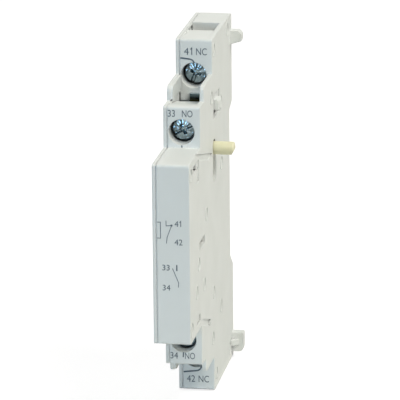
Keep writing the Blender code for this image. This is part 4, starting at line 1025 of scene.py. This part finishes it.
@dataclass
class Studio:
    """Pale floor, dark card, soft lamps and the camera.

    Attributes:
        azimuth: degrees that the camera stands to the right of straight ahead.
        elevation: degrees that it stands above the level.
        roll: degrees that its picture is turned by.
        distance: its distance from the target.
        lens: its focal length in millimetres.
        sensor: width of its sensor in millimetres.
        shift_across: sideways shift of its picture.
        shift_up: upward shift of its picture.
        sight: how far it sees.
        target: the point that it looks at.
        ambient: strength of the even light from all round.
        floor_level: height of the floor.
        floor_sides: sides of the floor's round edge.
        card_corners: corners of the dark card.
        card_levels: heights of its underside and its top above the floor.
    """

    azimuth: float = 9.641
    elevation: float = 15.228
    roll: float = 0.57
    distance: float = 916.045 * MM
    lens: float = 337.22
    sensor: float = 36.0
    shift_across: float = 0.029215
    shift_up: float = 0.006255
    sight: float = 10.0
    target: tuple[float, float, float] = (-4.5 * MM, -8.0 * MM, 6.36 * MM)
    ambient: float = 0.3
    floor_level: float = -45.4 * MM
    floor_sides: int = 96
    card_corners: tuple[tuple[float, float], ...] = ((-0.3, -0.6), (0.15, -0.6), (0.15, -0.17), (-0.3, -0.17))
    card_levels: tuple[float, float] = (0.0001, 0.0004)

    def camera(self) -> None:
        """Places the camera: it looks at the target from its azimuth and elevation, turned by its roll."""
        azimuth, elevation = math.radians(self.azimuth), math.radians(self.elevation)
        back = Vector((
            math.sin(azimuth) * math.cos(elevation),
            -math.cos(azimuth) * math.cos(elevation),
            math.sin(elevation),
        ))
        right = Vector((math.cos(azimuth), math.sin(azimuth), 0.0))
        turn = Matrix((right, back.cross(right), back)).transposed().to_4x4()
        data = bpy.data.cameras.new("camera")
        data.sensor_width = self.sensor
        data.lens = self.lens
        data.shift_x = self.shift_across
        data.shift_y = self.shift_up
        data.clip_end = self.sight
        camera = bpy.data.objects.new("camera", data)
        bpy.context.scene.collection.objects.link(camera)
        place = Matrix.Translation(Vector(self.target) + back * self.distance)
        camera.matrix_world = place @ turn @ Matrix.Rotation(math.radians(-self.roll), 4, "Z")
        bpy.context.scene.camera = camera

    def world(self) -> None:
        """Lights the block evenly and shows white to the camera and in reflections."""
        world = bpy.data.worlds.new("studio")
        bpy.context.scene.world = world
        world.use_nodes = True
        tree = world.node_tree
        tree.nodes.clear()
        path = add_node(tree, "ShaderNodeLightPath")
        clear = add_node(
            tree, "ShaderNodeMath",
            {0: path.outputs["Is Glossy Ray"], 1: path.outputs["Is Transmission Ray"]}, operation="MAXIMUM",
        )
        seen = add_node(
            tree, "ShaderNodeMath", {0: path.outputs["Is Camera Ray"], 1: clear.outputs[0]},
            operation="MAXIMUM",
        )
        strength = add_node(
            tree, "ShaderNodeMapRange", {"Value": seen.outputs[0], "To Min": self.ambient, "To Max": 1.0}
        )
        background = add_node(
            tree, "ShaderNodeBackground", {"Color": WHITE, "Strength": strength.outputs[0]}
        )
        add_node(tree, "ShaderNodeOutputWorld", {"Surface": background.outputs[0]})

    @staticmethod
    def board(name: str, colour: str) -> bpy.types.Material:
        """Builds a matt board that acts by its own colour and looks white, with soft shadows, to the camera.

        Args:
            name: the material's name.
            colour: sRGB hex that every ray but the camera's meets.

        Returns:
            The board's material.
        """
        material = bpy.data.materials.new(name)
        material.use_nodes = True
        tree = material.node_tree
        tree.nodes.clear()
        path = add_node(tree, "ShaderNodeLightPath")
        shade = Finish.mix(tree, path.outputs["Is Camera Ray"], linear(colour), linear(BOARD_GREY))
        matt = add_node(tree, "ShaderNodeBsdfDiffuse", {"Color": shade})
        lift = add_node(
            tree, "ShaderNodeMath", {0: path.outputs["Is Camera Ray"], 1: BOARD_LIFT}, operation="MULTIPLY"
        )
        glow = add_node(tree, "ShaderNodeEmission", {"Color": WHITE, "Strength": lift.outputs[0]})
        both = add_node(tree, "ShaderNodeAddShader", {0: matt.outputs[0], 1: glow.outputs[0]})
        add_node(tree, "ShaderNodeOutputMaterial", {"Surface": both.outputs[0]})
        return material

    def floor(self) -> None:
        """Lays a round pale floor that looks white and keeps the block's soft shadow.

        The floor is a thin disc: rings of growing radius on its top, and two more on its underside.
        """
        radius = np.array([0.001, 0.2, 0.6, 1.5, 1.5, 0.001])[:, None]
        level = np.array([0.0, 0.0, 0.0, 0.0, -0.004, -0.004])[:, None] + self.floor_level
        angle = np.linspace(0.0, 2 * math.pi, self.floor_sides, endpoint=False)
        rings = np.stack([radius * np.cos(angle), radius * np.sin(angle), level + 0 * angle], axis=-1)
        floor = solid_from_rings("floor", rings, None)
        floor.data.materials.append(self.board("matt white studio board", "#e4e4e2"))

    def flag(self) -> None:
        """Lays a dark card on the floor in front, outside the picture, for the screw heads to mirror.

        The card is a slab: the same four corners at two levels.
        """
        flat = np.repeat(np.array(self.card_corners)[None], len(self.card_levels), axis=0)
        level = self.floor_level + np.array(self.card_levels)
        rings = np.concatenate([flat, np.repeat(level[:, None, None], flat.shape[1], axis=1)], axis=2)
        card = solid_from_rings("flag card", rings, None)
        card.data.materials.append(self.board("matt black flag card", "#141516"))

    def build(self) -> None:
        """Sets up the camera, the world, the floor, the dark card and the lamps."""
        self.camera()
        self.world()
        self.floor()
        self.flag()
        for lamp in LAMPS:
            lamp.hang()
        bpy.context.scene.view_settings.view_transform = "Standard"


def dress_nodes() -> None:
    """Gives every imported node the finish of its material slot."""
    made = {slot: finish.make() for slot, finish in FINISH_OF_SLOT.items()}
    for part in frame["record"]["subparts"]:
        thing = frame["nodes"][part["node"]]
        material = made[part["material_slot"]]
        if not thing.material_slots:
            thing.data.materials.append(material)
        for holder in thing.material_slots:
            holder.material = material
        log.info("dressed %s as %s", part["node"], material.name)


def finished(slot: str) -> bpy.types.Material:
    """Returns the material that was made for a slot."""
    return bpy.data.materials[FINISH_OF_SLOT[slot].name]


def main() -> None:
    logging.basicConfig(level=logging.INFO, format="%(message)s")
    form = BlockForm()
    Studio().build()
    dress_nodes()
    for terminal in TERMINALS:
        screw = TerminalScrew().build(terminal)
        screw.data.materials.append(finished("plated_steel"))
        log.info("built %s with %d faces", screw.name, len(screw.data.polygons))
    springs = (
        CoilSpring("return_spring", 0.22 * MM, 12, "pin_travel", 6.5 * MM, True, "housing"),
        CoilSpring("nc_contact_spring", 0.17 * MM, 3, "nc_bridge_travel", -1.5 * MM, True, "slider"),
        CoilSpring("no_contact_spring", 0.17 * MM, 3, "no_bridge_travel", 3.7 * MM, False, "slider"),
    )
    for spring in springs:
        coil = spring.build()
        coil.data.materials.append(finished("spring_steel"))
        log.info("built %s with %d faces", coil.name, len(coil.data.polygons))
    for moulding in [SeamTongue(form).build(), *EjectorLips(form).build()]:
        moulding.data.materials.append(finished("light_grey_plastic"))
        log.info("built %s with %d faces", moulding.name, len(moulding.data.polygons))
    PadPrint(form).build()


if __name__ == "__main__":
    main()
